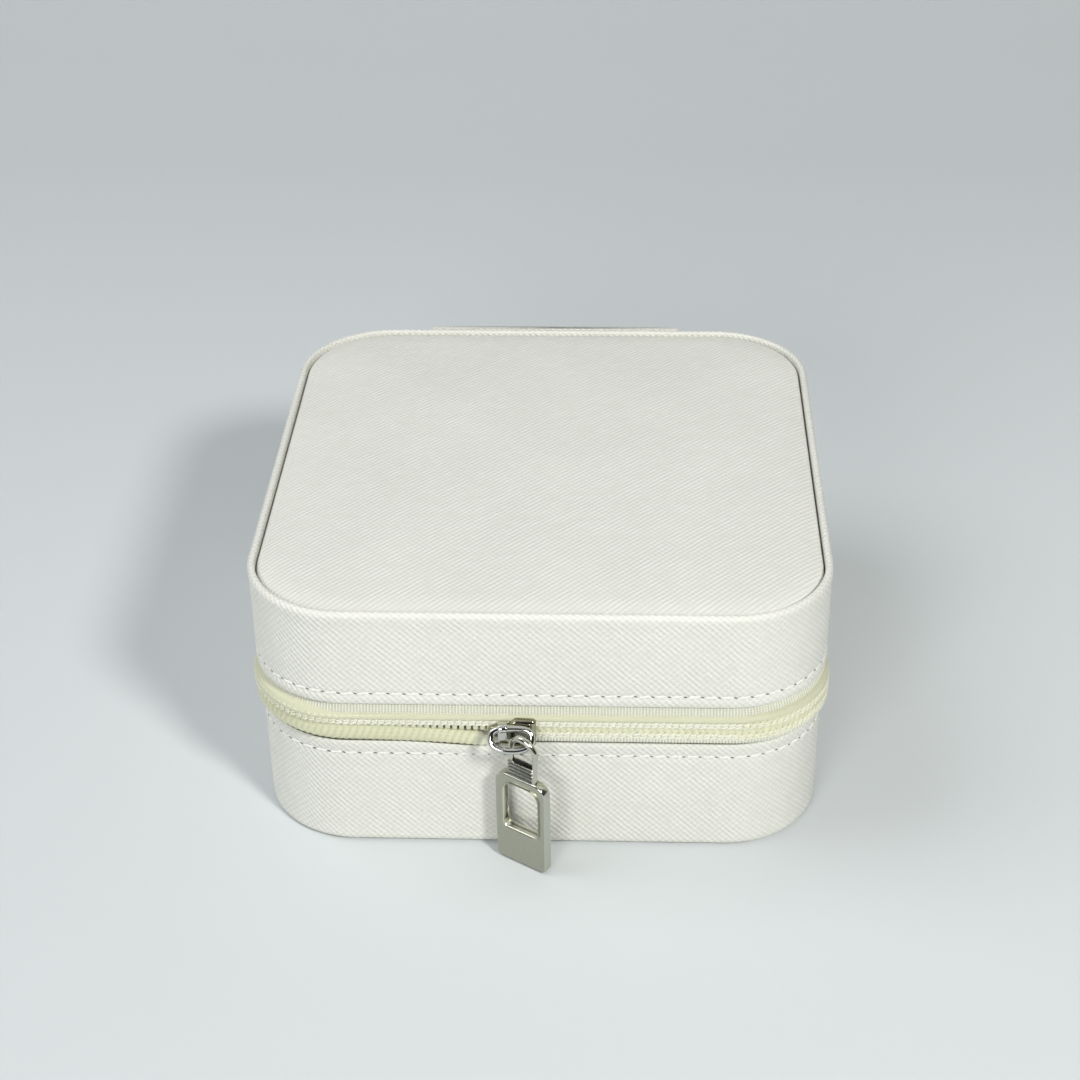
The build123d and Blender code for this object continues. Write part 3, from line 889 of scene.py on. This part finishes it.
coil_stitches("coil_stitches_upper", "lid", True)
coil_stitches("coil_stitches_lower", "base", False)


# ---- velvet inside the base


def velvet_wall(name, body, node, corners, radii):
    section = rounded(corners, radii)
    wall = band(name, lambda run: section, runs_every(1.5))
    dress(wall, velvet_cream, body, node)


lining_corners = [(3.2, 2.75), (4.2, 2.75), (4.2, 25.85), (3.1, 25.85), (3.0, 23.5), (1.85, 23.35)]
lining_corners += [(1.85, 22.96), (3.2, 22.96)]
lining_radii = [0.1, 0.1, 0.45, 0.45, 0.3, 0.15, 0.05, 0.1]
velvet_wall("base_velvet_wall", "base", "base_inner_wall", lining_corners, lining_radii)
floor_rings = [(0.4, 2.75), (0.0, 2.85), (0.0, 3.8), (0.12, 4.05), (0.4, 4.18), (1.2, FLOOR_LEVEL)]
floor_pad = plate("base_velvet_floor", CAVITY_DEPTH + 0.1, floor_rings, flat(2.75), flat(FLOOR_LEVEL))
dress(floor_pad, velvet_cream, "base", "base_floor_pad")

CAVITY_X = HALF_WIDTH - CAVITY_DEPTH - 0.2
CAVITY_Y = HALF_LENGTH - CAVITY_DEPTH - 0.2
CAVITY_RADIUS = CORNER - CAVITY_DEPTH - 0.2
ROLL_COUNT = 7
ROLL_LENGTH = 34.0
ROLL_HEIGHT = 16.5
ROLL_PITCH = 2 * CAVITY_Y / ROLL_COUNT
ROLL_WIDTH = ROLL_PITCH - 0.3


def ring_roll(index):
    """A padded roll across the left of the cavity. Its left end follows the cavity's rounded corners."""
    middle = -CAVITY_Y + (index + 0.5) * ROLL_PITCH
    half = ROLL_WIDTH / 2
    outline = rounded(rectangle(-half, 0, half, ROLL_HEIGHT), [0.5, 0.5, 5.4, 5.4], steps=7)
    ends = [(0.0, 0.9), (0.2, 0.35), (0.8, 0.0)]
    stations = ends + [(along, 0.0) for along in spread(2.0, ROLL_LENGTH - 2.0, 20)]
    stations += [(ROLL_LENGTH - along, inset) for along, inset in reversed(ends)]
    rings = []
    for along, inset in stations:
        ring = []
        for a, b in outline:
            y = middle + a * (1 - inset / half)
            z = FLOOR_LEVEL + ROLL_HEIGHT / 2 + (b - ROLL_HEIGHT / 2) * (1 - 2 * inset / ROLL_HEIGHT)
            left = -round_off(CAVITY_X, CAVITY_RADIUS, abs(y) - (CAVITY_Y - CAVITY_RADIUS))
            x = left + (ROLL_LENGTH - CAVITY_X - left) * along / ROLL_LENGTH
            if b > 9:
                z += 0.12 * math.sin(along * 0.5 + index) + 0.10 * math.sin(along * 1.3 + 2 * index)
            ring.append((x, y, z))
        rings.append(ring)
    number = str(index + 1)
    roll = loft("velvet_roll_" + number, rings)
    dress(roll, velvet_cream, "base", "ring_roll_" + number)


for roll_index in range(ROLL_COUNT):
    ring_roll(roll_index)

DIVIDER = 2.2
DIVIDER_HEIGHT = 16.0
DIVIDER_X = -CAVITY_X + ROLL_LENGTH + 0.3
DIVIDER_GAP = 0.02


def divider_wall(place, node, start, end):
    """A velvet covered wall with a rounded top, between two points on plan on its middle line."""
    along_y = start[0] == end[0]
    half = DIVIDER / 2 - DIVIDER_GAP
    outline = rounded(rectangle(-half, DIVIDER_GAP, half, DIVIDER_HEIGHT), [0.1, 0.1, 0.95, 0.95], steps=6)
    length = math.dist(start, end)
    stations = [0.0, 0.1] + spread(0, length, 16)[1:-1] + [length - 0.1, length]
    rings = []
    for along in stations:
        inset = 0.15 if along in (0.0, length) else 0.0
        t = along / length
        x, y = start[0] + (end[0] - start[0]) * t, start[1] + (end[1] - start[1]) * t
        ring = []
        for a, b in outline:
            a *= 1 - inset / half
            z = FLOOR_LEVEL + b - (inset if b > 1 else 0)
            ring.append((x + a, y, z) if along_y else (x, y + a, z))
        rings.append(ring)
    dress(loft("velvet_divider_" + place, rings), velvet_cream, "base", node)


long_x = DIVIDER_X + DIVIDER / 2
divider_wall("long", "long_divider", (long_x, -CAVITY_Y), (long_x, CAVITY_Y))
for place, cross_y in (("front", -CAVITY_Y / 3), ("rear", CAVITY_Y / 3)):
    divider_wall(place, "cross_divider_" + place, (DIVIDER_X + DIVIDER, cross_y), (CAVITY_X, cross_y))


# ---- velvet inside the lid

lining_corners = [(4.2, 44.35), (3.2, 44.35), (3.2, 30.72), (1.85, 30.72), (1.85, 30.3), (3.0, 30.15)]
lining_corners += [(3.1, 26.15), (4.2, 26.15)]
lining_radii = [0.1, 0.1, 0.1, 0.05, 0.15, 0.3, 0.45, 0.45]
velvet_wall("lid_velvet_wall", "lid", "lid_inner_wall", lining_corners, lining_radii)
ceiling_rings = [(1.2, LID_FLOOR), (0.4, 44.42), (0.1, 44.5), (0.0, 44.7), (0.0, 45.2), (0.3, 45.38)]
ceiling = plate("lid_velvet_panel", 3.25, ceiling_rings, flat(LID_FLOOR), flat(45.38))
dress(ceiling, velvet_cream, "lid", "lid_inner_panel")

STRIP_Y = -HALF_LENGTH + 15.0
STRIP_LENGTH = 62.0
STRIP_WIDTH = 9.0
strip_stations = [(0.0, 44.38), (0.0, 43.75), (0.1, 43.52), (0.35, 43.42)]
strip_stations += [(inset, 43.4) for inset in (1.0, 1.8, 2.6)]
strip_rings = []
for inset, height in strip_stations:
    half_x, half_y = STRIP_LENGTH / 2 - inset, STRIP_WIDTH / 2 - inset
    outline = rounded(rectangle(-half_x, -half_y, half_x, half_y), 3.0 - inset, steps=6)
    strip_rings.append([(x, STRIP_Y + y, height) for x, y in outline])
strip = loft("knob_strip_leather", strip_rings)
strip_uv = strip.data.uv_layers["UVMap"].data
for loop in strip.data.loops:
    point = strip.data.vertices[loop.vertex_index].co / MM
    strip_uv[loop.index].uv = (point.x, point.y)
dress(strip, leather_panel, "lid", "knob_strip")
for side in ("left", "middle", "right"):
    coat("necklace_knob_" + side, bright_nickel)

POCKET_DEPTH = 50.0
POCKET_REAR = HALF_LENGTH - 8.5
POCKET_MOUTH = POCKET_REAR - POCKET_DEPTH
POCKET_HALF = 38.0
POCKET_CORNER = 10.0
GATHERS = 1.2
ELASTIC_HALF = 0.995 * POCKET_HALF
ELASTIC_WIDTH = 5.0
FOLD_PITCH = 4.6
WIDE_FOLD_PITCH = 9.5
RUFFLE_PITCH = 1.3
FULLNESS = 5.0


def pocket_half_width(y):
    return round_off(POCKET_HALF, POCKET_CORNER, y - (POCKET_REAR - POCKET_CORNER))


def pocket_drop(x, y):
    """How far the gathered cloth hangs below the lid's velvet panel."""
    side = rise((pocket_half_width(y) - abs(x)) / 7.0, 2.4)
    rear = rise((POCKET_REAR - y) / 11.0, 2.4)
    s = (y - POCKET_MOUTH) / POCKET_DEPTH
    fold = math.cos(2 * math.pi * x / FOLD_PITCH + 0.8 * math.sin(x * 0.31)) * math.exp(-s / 0.26)
    fold += 0.5 * math.cos(2 * math.pi * x / WIDE_FOLD_PITCH + 1.3) * math.exp(-s / 0.55)
    full = FULLNESS + 0.75 * smooth(0.0, 0.4, s) + 0.62 * fold
    return 0.25 + full * side * rear


pocket_rows = []
for y in spread(POCKET_MOUTH + 0.2, POCKET_REAR - 0.1, 80):
    half = pocket_half_width(y)
    pocket_rows.append([(x, y, LID_FLOOR - pocket_drop(x, y)) for x in spread(-half, half, 180)])
pocket_uv = [[(x * GATHERS, y) for x, y, _ in row] for row in pocket_rows]
pocket = grid("gathered_pocket", pocket_rows, pocket_uv, False, False)
thicken = pocket.modifiers.new("thickness", "SOLIDIFY")
thicken.thickness = 0.45 * MM
thicken.offset = 0.0
dress(pocket, velvet_cream, "lid", "pocket_sleeve")

elastic_section = rounded(rectangle(0.0, 0.1, ELASTIC_WIDTH, 0.72), 0.28, steps=3)
elastic_rings = []
for x in spread(-ELASTIC_HALF, ELASTIC_HALF, 360):
    level = LID_FLOOR - pocket_drop(x, POCKET_MOUTH + 0.2)
    ring = []
    for a, b in elastic_section:
        ruffle = 0.16 * math.sin(2 * math.pi * x / RUFFLE_PITCH + 0.6 * math.sin(a)) * (b > 0.4)
        ring.append((x, POCKET_MOUTH + a, level - b * 0.8 - ruffle))
    elastic_rings.append(ring)
dress(loft("pocket_elastic_band", elastic_rings), elastic_cloth, "lid", "pocket_elastic")


# ---- hinge patch

PATCH_HALF = 25.0
PATCH_LOW = 4.0
PATCH_HIGH = 49.65
PATCH_THICKNESS = 0.98
PATCH_CORNER = 3.0
PATCH_SEAM = 2.0

patch_levels = [PATCH_LOW + lift for lift in (0, 0.05, 0.2, 0.5, 1, 2)]
patch_levels += [7.0 + 0.75 * k for k in range(56)] + [49.1, 49.5, 49.58, PATCH_HIGH]
patch_rings = []
for level in patch_levels:
    lip = max(0.0, 0.15 - abs(level - PATCH_LOW)) + max(0.0, 0.15 - abs(PATCH_HIGH - level))
    half = round_off(PATCH_HALF, PATCH_CORNER, PATCH_LOW + PATCH_CORNER - level)
    inner = 50.52 + 0.48 * smooth(BASE_EDGE, LID_EDGE, level)
    corners = rectangle(-half, inner, half, inner + PATCH_THICKNESS - lip)
    outline = rounded(corners, [0.08, 0.08, 0.4, 0.4], steps=4)
    ring = []
    for p, q in zip(outline, outline[1:] + outline[:1]):
        steps = 40 if math.dist(p, q) > 20 else 1
        for k in range(steps):
            x, y = p[0] + (q[0] - p[0]) * k / steps, p[1] + (q[1] - p[1]) * k / steps
            seam_in = 0.12 * bell(half - abs(x), PATCH_SEAM, 0.4) * (y > inner + 0.6)
            ring.append((x, y - seam_in, level))
    patch_rings.append(ring)
patch = loft("hinge_patch_leather", patch_rings)
patch.data.materials.append(leather_wall)
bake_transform(patch)
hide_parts("hinge_patch_base", "hinge_patch_lid")


def patch_seam(name, body, depth, level, low, high):
    """Stitches round one half of the hinge patch: two upright rows and one level row."""
    upright = PATCH_HALF - PATCH_SEAM
    threads, holes = [], []
    count = round((high - low) / STITCH_PITCH)
    for run in (-upright, upright):
        for k in range(count):
            z = low + (k + 0.5) * (high - low) / count
            threads.append((run, depth, z, math.radians(90 + random.uniform(-4, 4))))
            holes.append((run, depth, z + STITCH_PITCH / 2, math.radians(90 + HOLE_LEAN)))
    count = round(2 * (upright - 2) / STITCH_PITCH)
    for k in range(count):
        run = (k + 0.5 - count / 2) * STITCH_PITCH
        threads.append((run, depth, level, math.radians(random.uniform(-4, 4))))
        holes.append((run + STITCH_PITCH / 2, depth, level, math.radians(HOLE_LEAN)))
    sew(name, body, threads, holes, 0.12)


patch_seam("patch_seam_base", "base", -0.42, PATCH_LOW + 2.2, 8.0, 20.6)
patch_seam("patch_seam_lid", "lid", -0.92, PATCH_HIGH - 2.2, 31.8, 46.0)


# ---- pull ring and tab

WIRE_ROUND = 20


def swept_wire(name, path, radius, closed, taper=None):
    """A round wire along points in millimetres. taper(share of the way along) scales its radius."""
    path = [Vector(p) for p in path]
    count = len(path)
    rows, normal = [], None
    for i, p in enumerate(path):
        before = path[(i - 1) % count] if closed or i else p
        after = path[(i + 1) % count] if closed or i < count - 1 else p
        tangent = (after - before).normalized()
        if normal is None:
            normal = tangent.orthogonal().normalized()
        normal = (normal - tangent * normal.dot(tangent)).normalized()
        side = tangent.cross(normal)
        size = radius * (taper(i / (count - 1)) if taper else 1.0)
        section = [normal * math.cos(a) + side * math.sin(a) for a in circle(WIRE_ROUND)]
        rows.append([tuple(p + out * size) for out in section])
    if closed:
        # The sections turn a little on the way round, so each is turned back by its share.
        start, end = Vector(rows[0][0]) - path[0], Vector(rows[-1][0]) - path[-1]
        tangent = (path[1] - path[-1]).normalized()
        slip = math.atan2(tangent.dot(start.cross(end)), start.dot(end))
        for i, p in enumerate(path):
            t = (path[(i + 1) % count] - path[i - 1]).normalized()
            spin = Matrix.Rotation(-slip * i / (count - 1), 3, t)
            rows[i] = [tuple(p + spin @ (Vector(q) - p)) for q in rows[i]]
    return grid(name, rows, plain_uv(count, WIRE_ROUND), closed, True, cap=not closed, sharp=70)


RING_ORIGIN = Vector((-4.2, -53.4, 27.9))
RING_DROOP = math.radians(53)
RING_DOWN = Vector((0, -math.cos(RING_DROOP), -math.sin(RING_DROOP)))
RING_WIRE = 0.6
RING_HALF = 3.45
RING_REACH = 3.8
ring_path = []
for angle in circle(96):
    power = 2 / (3.4 if math.sin(angle) < 0 else 2.3)
    across = signed_power(math.cos(angle), power) * RING_HALF
    along = signed_power(math.sin(angle), power) * RING_REACH / 2
    ring_path.append(RING_ORIGIN + Vector((across, 0, 0)) + RING_DOWN * (RING_REACH / 2 + along))
ring_loop = swept_wire("pull_ring_loop", ring_path, RING_WIRE, True)
dress(ring_loop, bright_nickel, "ring", "pull_ring")

TAB_ORIGIN = Vector((-2.1582, -55.6479, 24.9169))
TAB_YAW = math.radians(32.5)
TAB_ACROSS = Vector((math.cos(TAB_YAW), -math.sin(TAB_YAW), 0))
TAB_OUT = Vector((-math.sin(TAB_YAW), -math.cos(TAB_YAW), 0))
TAB_SHIFT = -0.3


def on_tab(across, height, out=0.0):
    return tuple(TAB_ORIGIN + TAB_ACROSS * (across + TAB_SHIFT) + Vector((0, 0, height)) + TAB_OUT * out)


def from_tab(centre):
    """The opposite of on_tab: across, height and out for a point in millimetres."""
    offset = centre - TAB_ORIGIN
    return offset.dot(TAB_ACROSS) - TAB_SHIFT, offset.z, offset.dot(TAB_OUT)


PLATE_TOP, PLATE_LOW = -5.8, -24.6
WINDOW_LOW, WINDOW_HIGH = PLATE_LOW + 7.2, PLATE_LOW + 16.9
PLATE_HALF, WINDOW_HALF = 5.2, 3.5
HALF_PLATE = 0.95
EDGE = 0.34


def tab_ring(half, low, high, low_radius, high_radius, inset, out):
    """A rounded outline on the tab; an inset above zero lies inside it."""
    corners = rectangle(inset - half, low + inset, half - inset, high - inset)
    a, b = max(0.15, low_radius - inset), max(0.15, high_radius - inset)
    return [on_tab(x, z, out) for x, z in rounded(corners, [a, a, b, b], steps=10)]


def plate_ring(inset, out):
    return tab_ring(PLATE_HALF, PLATE_LOW, PLATE_TOP, 1.0, 2.2, inset, out)


def window_ring(inset, out):
    return tab_ring(WINDOW_HALF, WINDOW_LOW, WINDOW_HIGH, 0.9, 2.1, inset, out)


quarter = [(math.sin(a), math.cos(a)) for a in spread(0, math.pi / 2, 4)]
outer_steps = [(EDGE * (1 - s), HALF_PLATE - EDGE * (1 - c)) for s, c in quarter]
window_steps = [(-EDGE * (1 - c), HALF_PLATE - EDGE * (1 - s)) for s, c in quarter]
tab_rows = [plate_ring(i, o) for i, o in outer_steps]
tab_rows += [plate_ring(i, -o) for i, o in reversed(outer_steps)]
tab_rows += [window_ring(i, -o) for i, o in window_steps]
tab_rows += [window_ring(i, o) for i, o in reversed(window_steps)]
tab_plate = grid("pull_tab_plate", tab_rows, plain_uv(len(tab_rows), len(tab_rows[0])), True, True, sharp=25)
dress(tab_plate, satin_nickel, "tab", "pull_tab")


def on_edge(centre, face):
    return abs(face.normal.dot(TAB_OUT)) < 0.97


def in_window(centre, face):
    across, height, out = from_tab(centre)
    level = WINDOW_LOW - 0.2 < height < WINDOW_HIGH + 0.2
    return on_edge(centre, face) and level and abs(across) < WINDOW_HALF + 0.25 and abs(out) < 0.8


paint(tab_plate, polished_nickel, on_edge)
# The window's inner faces get a painted reflection of the cream leather.
paint(tab_plate, window_painted_reflection_nickel, in_window)

NECK_TOP = -2.8
NECK_PITCH = 0.74
NECK_GROOVE = 0.22
NECK_HALF = 2.65
NECK_THICKNESS = 1.6
SLOT_HALF = 2.35
neck_levels = [(PLATE_TOP - 0.4, 0.0)]
for level in spread(PLATE_TOP + 0.05, NECK_TOP - 0.2, 80):
    neck_levels.append((level, NECK_GROOVE * (1 - ridge(level - PLATE_TOP, NECK_PITCH))))
neck_levels += [(NECK_TOP - 0.12, 0.0), (NECK_TOP - 0.03, 0.05), (NECK_TOP, 0.14), (NECK_TOP, 0.3)]
neck_levels += [(NECK_TOP - 0.03, 0.36), (NECK_TOP - 0.6, 0.4)]
neck_rows = []
for level, inset in neck_levels:
    half_wide, half_thick = NECK_HALF - inset, NECK_THICKNESS / 2 - inset
    corners = rectangle(-half_wide, -half_thick, half_wide, half_thick)
    outline = rounded(corners, max(0.1, 0.3 - inset / 2), steps=3)
    neck_rows.append([on_tab(a, level, b) for a, b in outline])
neck = loft("pull_tab_neck", neck_rows)
dress(neck, neck_nickel, "tab")


def in_slot(centre, face):
    """The slot in the neck's top that the arch comes out of, its walls and its bottom, which get a near
    black colour: painted shade in the slot.
    """
    across, height, out = from_tab(centre)
    inside = abs(across) < SLOT_HALF and abs(out) < 0.45 and height > NECK_TOP - 0.65
    return inside and face.normal.z >= -0.3 and (height < NECK_TOP - 0.02 or len(face.vertices) == 3)


def in_groove(centre, face):
    _, height, _ = from_tab(centre)
    low = PLATE_TOP < height < NECK_TOP - 0.2 and ridge(height - PLATE_TOP, NECK_PITCH) < 0.325
    return low and len(face.vertices) == 4 and not in_slot(centre, face)


paint(neck, slot_painted_shade, in_slot)
# The grooves between the neck's ridges get painted shade.
paint(neck, groove_painted_shade_nickel, in_groove)

ARCH_WIRE = 0.5
ARCH_HALF = 2.15
ARCH_SPREAD = 0.6
# The arch's left leg ends in the slot, its right leg runs down beside the neck.
ARCH_LEFT_FOOT = -3.3
ARCH_SHOULDER = 0.15
RIGHT_LEG = 6.25
arch_path = [on_tab(-ARCH_HALF, height) for height in spread(ARCH_LEFT_FOOT, ARCH_SHOULDER, 7)[:-1]]
for angle in spread(math.pi, 0, 32):
    reach = ARCH_HALF + (ARCH_SPREAD * (1 - math.sin(angle)) if angle < math.pi / 2 else 0)
    arch_path.append(on_tab(reach * math.cos(angle), ARCH_SHOULDER + ARCH_HALF * math.sin(angle)))
for t in spread(0, 1, 16)[1:]:
    arch_path.append(on_tab(ARCH_HALF + ARCH_SPREAD - 0.1 * t, ARCH_SHOULDER - RIGHT_LEG * t, 0.2 * t))
arch = swept_wire("pull_tab_arch", arch_path, ARCH_WIRE, False, lambda t: 1 + 0.28 * bell(t, 0.45, 0.14))
dress(arch, polished_nickel, "tab")


# ---- slider

SLIDER_X = -4.2


def slab(name, corners, radii, stations):
    """A plate that faces the front. corners are (x, height from the zip's middle), stations (inset, y)."""
    rings = []
    for inset, y in stations:
        moved = []
        for x, z in corners:
            moved.append((x - math.copysign(inset, x - SLIDER_X), z - math.copysign(inset, z)))
        outline = rounded(moved, [max(0.1, radius - 0.5 * inset) for radius in radii])
        rings.append([(x, y, ZIP_MID + z) for x, z in outline])
    return loft(name, rings, sharp=35)


blade_corners = [(-0.1, 2.7), (-3.6, 2.9), (-4.9, 1.7), (-8.25, 1.25), (-8.25, -1.25), (-4.9, -1.9)]
blade_corners += [(-3.6, -2.9), (-0.1, -2.7)]
blade_stations = [(0.2, -51.5), (0.0, -51.6), (0.0, -52.1)]
for angle in spread(0, math.pi / 2, 5)[1:]:
    blade_stations.append((0.85 * (1 - math.cos(angle)), -52.1 - 0.6 * math.sin(angle)))
blade_stations.append((1.08, -52.7))
blade = slab("slider_blade_outer", blade_corners, [0.7, 0.7, 0.8, 0.9, 0.9, 0.8, 0.7, 0.7], blade_stations)
dress(blade, slider_nickel, "slider", "slider_body")
# The blade's flat front face gets painted shade and a painted dark reflection.
paint(blade, blade_painted_shade_nickel, lambda centre, face: face.normal.y < -0.999)
inner_corners = [(-0.35, 2.4), (-8.05, 2.4), (-8.05, -2.4), (-0.35, -2.4)]
inner_stations = [(0.12, -48.44), (0.0, -48.41), (0.0, -48.2), (0.04, -48.15), (0.15, -48.12)]
inner_blade = slab("slider_blade_inner", inner_corners, [0.5] * 4, inner_stations)
dress(inner_blade, polished_nickel, "slider")
flange_corners = [(-0.5, -2.42), (-6.4, -2.42), (-6.4, -2.88), (-0.5, -2.88)]
flange = slab("slider_flange", flange_corners, [0.15] * 4, [(0.0, -52.0), (0.0, -51.4), (0.08, -51.35)])
dress(flange, slider_nickel, "slider")
# The post sits above the zip's middle, clear of the sagging tape at both ends of the travel.
post_corners = [(-6.3, 1.09), (-8.0, 1.09), (-8.0, 0.78), (-6.3, 0.78)]
post = slab("slider_post", post_corners, [0.1] * 4, [(0.0, -51.55), (0.0, -48.35)])
dress(post, slider_nickel, "slider")


def hull(points):
    """The convex outline round points on a plane."""
    points = sorted(points)
    out = []
    for ordered in (points, points[::-1]):
        side = []
        for q in ordered:
            while len(side) > 1:
                (ax, ay), (bx, by) = side[-2], side[-1]
                if (bx - ax) * (q[1] - ay) - (by - ay) * (q[0] - ax) > 1e-9:
                    break
                side.pop()
            side.append(q)
        out += side[:-1]
    return out


crown_points = []
for y, z, radius in ((-53.4, 27.9, 0.85), (-52.7, 25.6, 0.7), (-52.4, 27.6, 0.85)):
    crown_points += [(y + radius * math.cos(a), z + radius * math.sin(a)) for a in circle(40)]
crown_outline = hull(crown_points)
crown_middle = Vector(np.mean(crown_outline, axis=0))
crown_stations = [(-6.5, 0.26), (-6.46, 0.14), (-6.36, 0.04), (-6.2, 0.0)]
crown_stations += [(-5.2, 0.0), (-5.04, 0.04), (-4.94, 0.14), (-4.9, 0.26)]
crown_rings = []
for x, shrink in crown_stations:
    ring = []
    for y, z in crown_outline:
        inwards = Vector((crown_middle[0] - y, crown_middle[1] - z)).normalized() * shrink
        ring.append((x, y + inwards[0], z + inwards[1]))
    crown_rings.append(ring)
dress(loft("slider_crown", crown_rings, sharp=50), bright_nickel, "slider")

for node in ("base_bottom_board", "base_board_frame", "lid_board_frame", "lid_top_board"):
    coat(node, grey_board)
coat("lid_foam", pale_foam)


# ---- camera, light and floor

PHOTO_SIZE = 1080
FOCAL_PIXELS = 2089.8
YAW, PITCH, ROLL = -0.0474, 0.5766, -0.0163
forward = Vector((math.sin(YAW) * math.cos(PITCH), math.cos(YAW) * math.cos(PITCH), -math.sin(PITCH)))
level_right = Vector((math.cos(YAW), -math.sin(YAW), 0))
level_up = level_right.cross(forward)
right = level_right * math.cos(ROLL) + level_up * math.sin(ROLL)
up = level_up * math.cos(ROLL) - level_right * math.sin(ROLL)
camera_data = bpy.data.cameras.new("camera")
camera_data.sensor_width = 36.0
camera_data.lens = FOCAL_PIXELS / PHOTO_SIZE * camera_data.sensor_width
camera_data.clip_start = 0.01
camera_data.clip_end = 20.0
camera = bpy.data.objects.new("camera", camera_data)
aim = Matrix((right, up, -forward)).transposed().to_4x4()
camera.matrix_world = Matrix.Translation(Vector((14.33, -331.06, 246.71)) * MM) @ aim
bpy.context.collection.objects.link(camera)
bpy.context.scene.camera = camera


def area_light(name, position, size, power, colour):
    """A round lamp at a position in metres, aimed at the case."""
    data = bpy.data.lights.new(name, "AREA")
    data.shape = "DISK"
    data.size = size
    data.energy = power
    data.color = colour
    lamp = bpy.data.objects.new(name, data)
    lamp.location = position
    direction = Vector((0, 0, 0.03)) - Vector(position)
    lamp.rotation_euler = direction.to_track_quat("-Z", "Y").to_euler()
    bpy.context.collection.objects.link(lamp)


area_light("key", (0.42, -0.56, 0.62), 0.16, 5.2, (1.0, 0.985, 0.95))
area_light("left_fill", (-0.5, 0.0, 0.75), 0.6, 2.3, (0.98, 0.99, 1.0))
area_light("front_fill", (-0.28, -0.85, 0.38), 0.4, 3.2, (1.0, 0.995, 0.97))

world = bpy.data.worlds.new("world")
bpy.context.scene.world = world
world.use_nodes = True
# A room that is bright above and at the left, dimmer at the right and dark towards the front.
room = Nodes(world.node_tree)
compass = room.node("TexCoord", {})
to_right, to_front, above = [room.split(compass, axis) for axis in range(3)]
darkness = room.times(room.ramp(to_front, -0.18, -0.45), room.ramp(above, 0.90, 0.72))
darkness = room.math("MAXIMUM", darkness, room.ramp(to_right, 0.0, 0.5, 0.0, 0.95))
background = room.tree.nodes["Background"]
room.set(background, "Strength", 0.71)
room.set(background, "Color", room.mix(darkness, (0.96, 0.97, 1.0), (0.05, 0.05, 0.055)))

STAGE_BEND = 260
STAGE_RADIUS = 400
stage_shade = Shade("stage_cloth", (0.605, 0.64, 0.65), 0.8, Specular_IOR_Level=0.2)
stage_line = [(-3500, 0), (STAGE_BEND, 0)]
for angle in spread(0, math.pi / 2, 9)[1:]:
    stage_line.append((STAGE_BEND + STAGE_RADIUS * math.sin(angle), STAGE_RADIUS * (1 - math.cos(angle))))
stage_line.append((STAGE_BEND + STAGE_RADIUS, 1600))
stage_rows = [[(x, y, z) for y, z in stage_line] for x in (-3000, 3000)]
sweep = grid("stage_sweep", stage_rows, np.zeros((2, len(stage_line), 2)), False, False)
sweep.data.materials.append(stage_shade.material)

scene = bpy.context.scene
scene.view_settings.view_transform = "Standard"
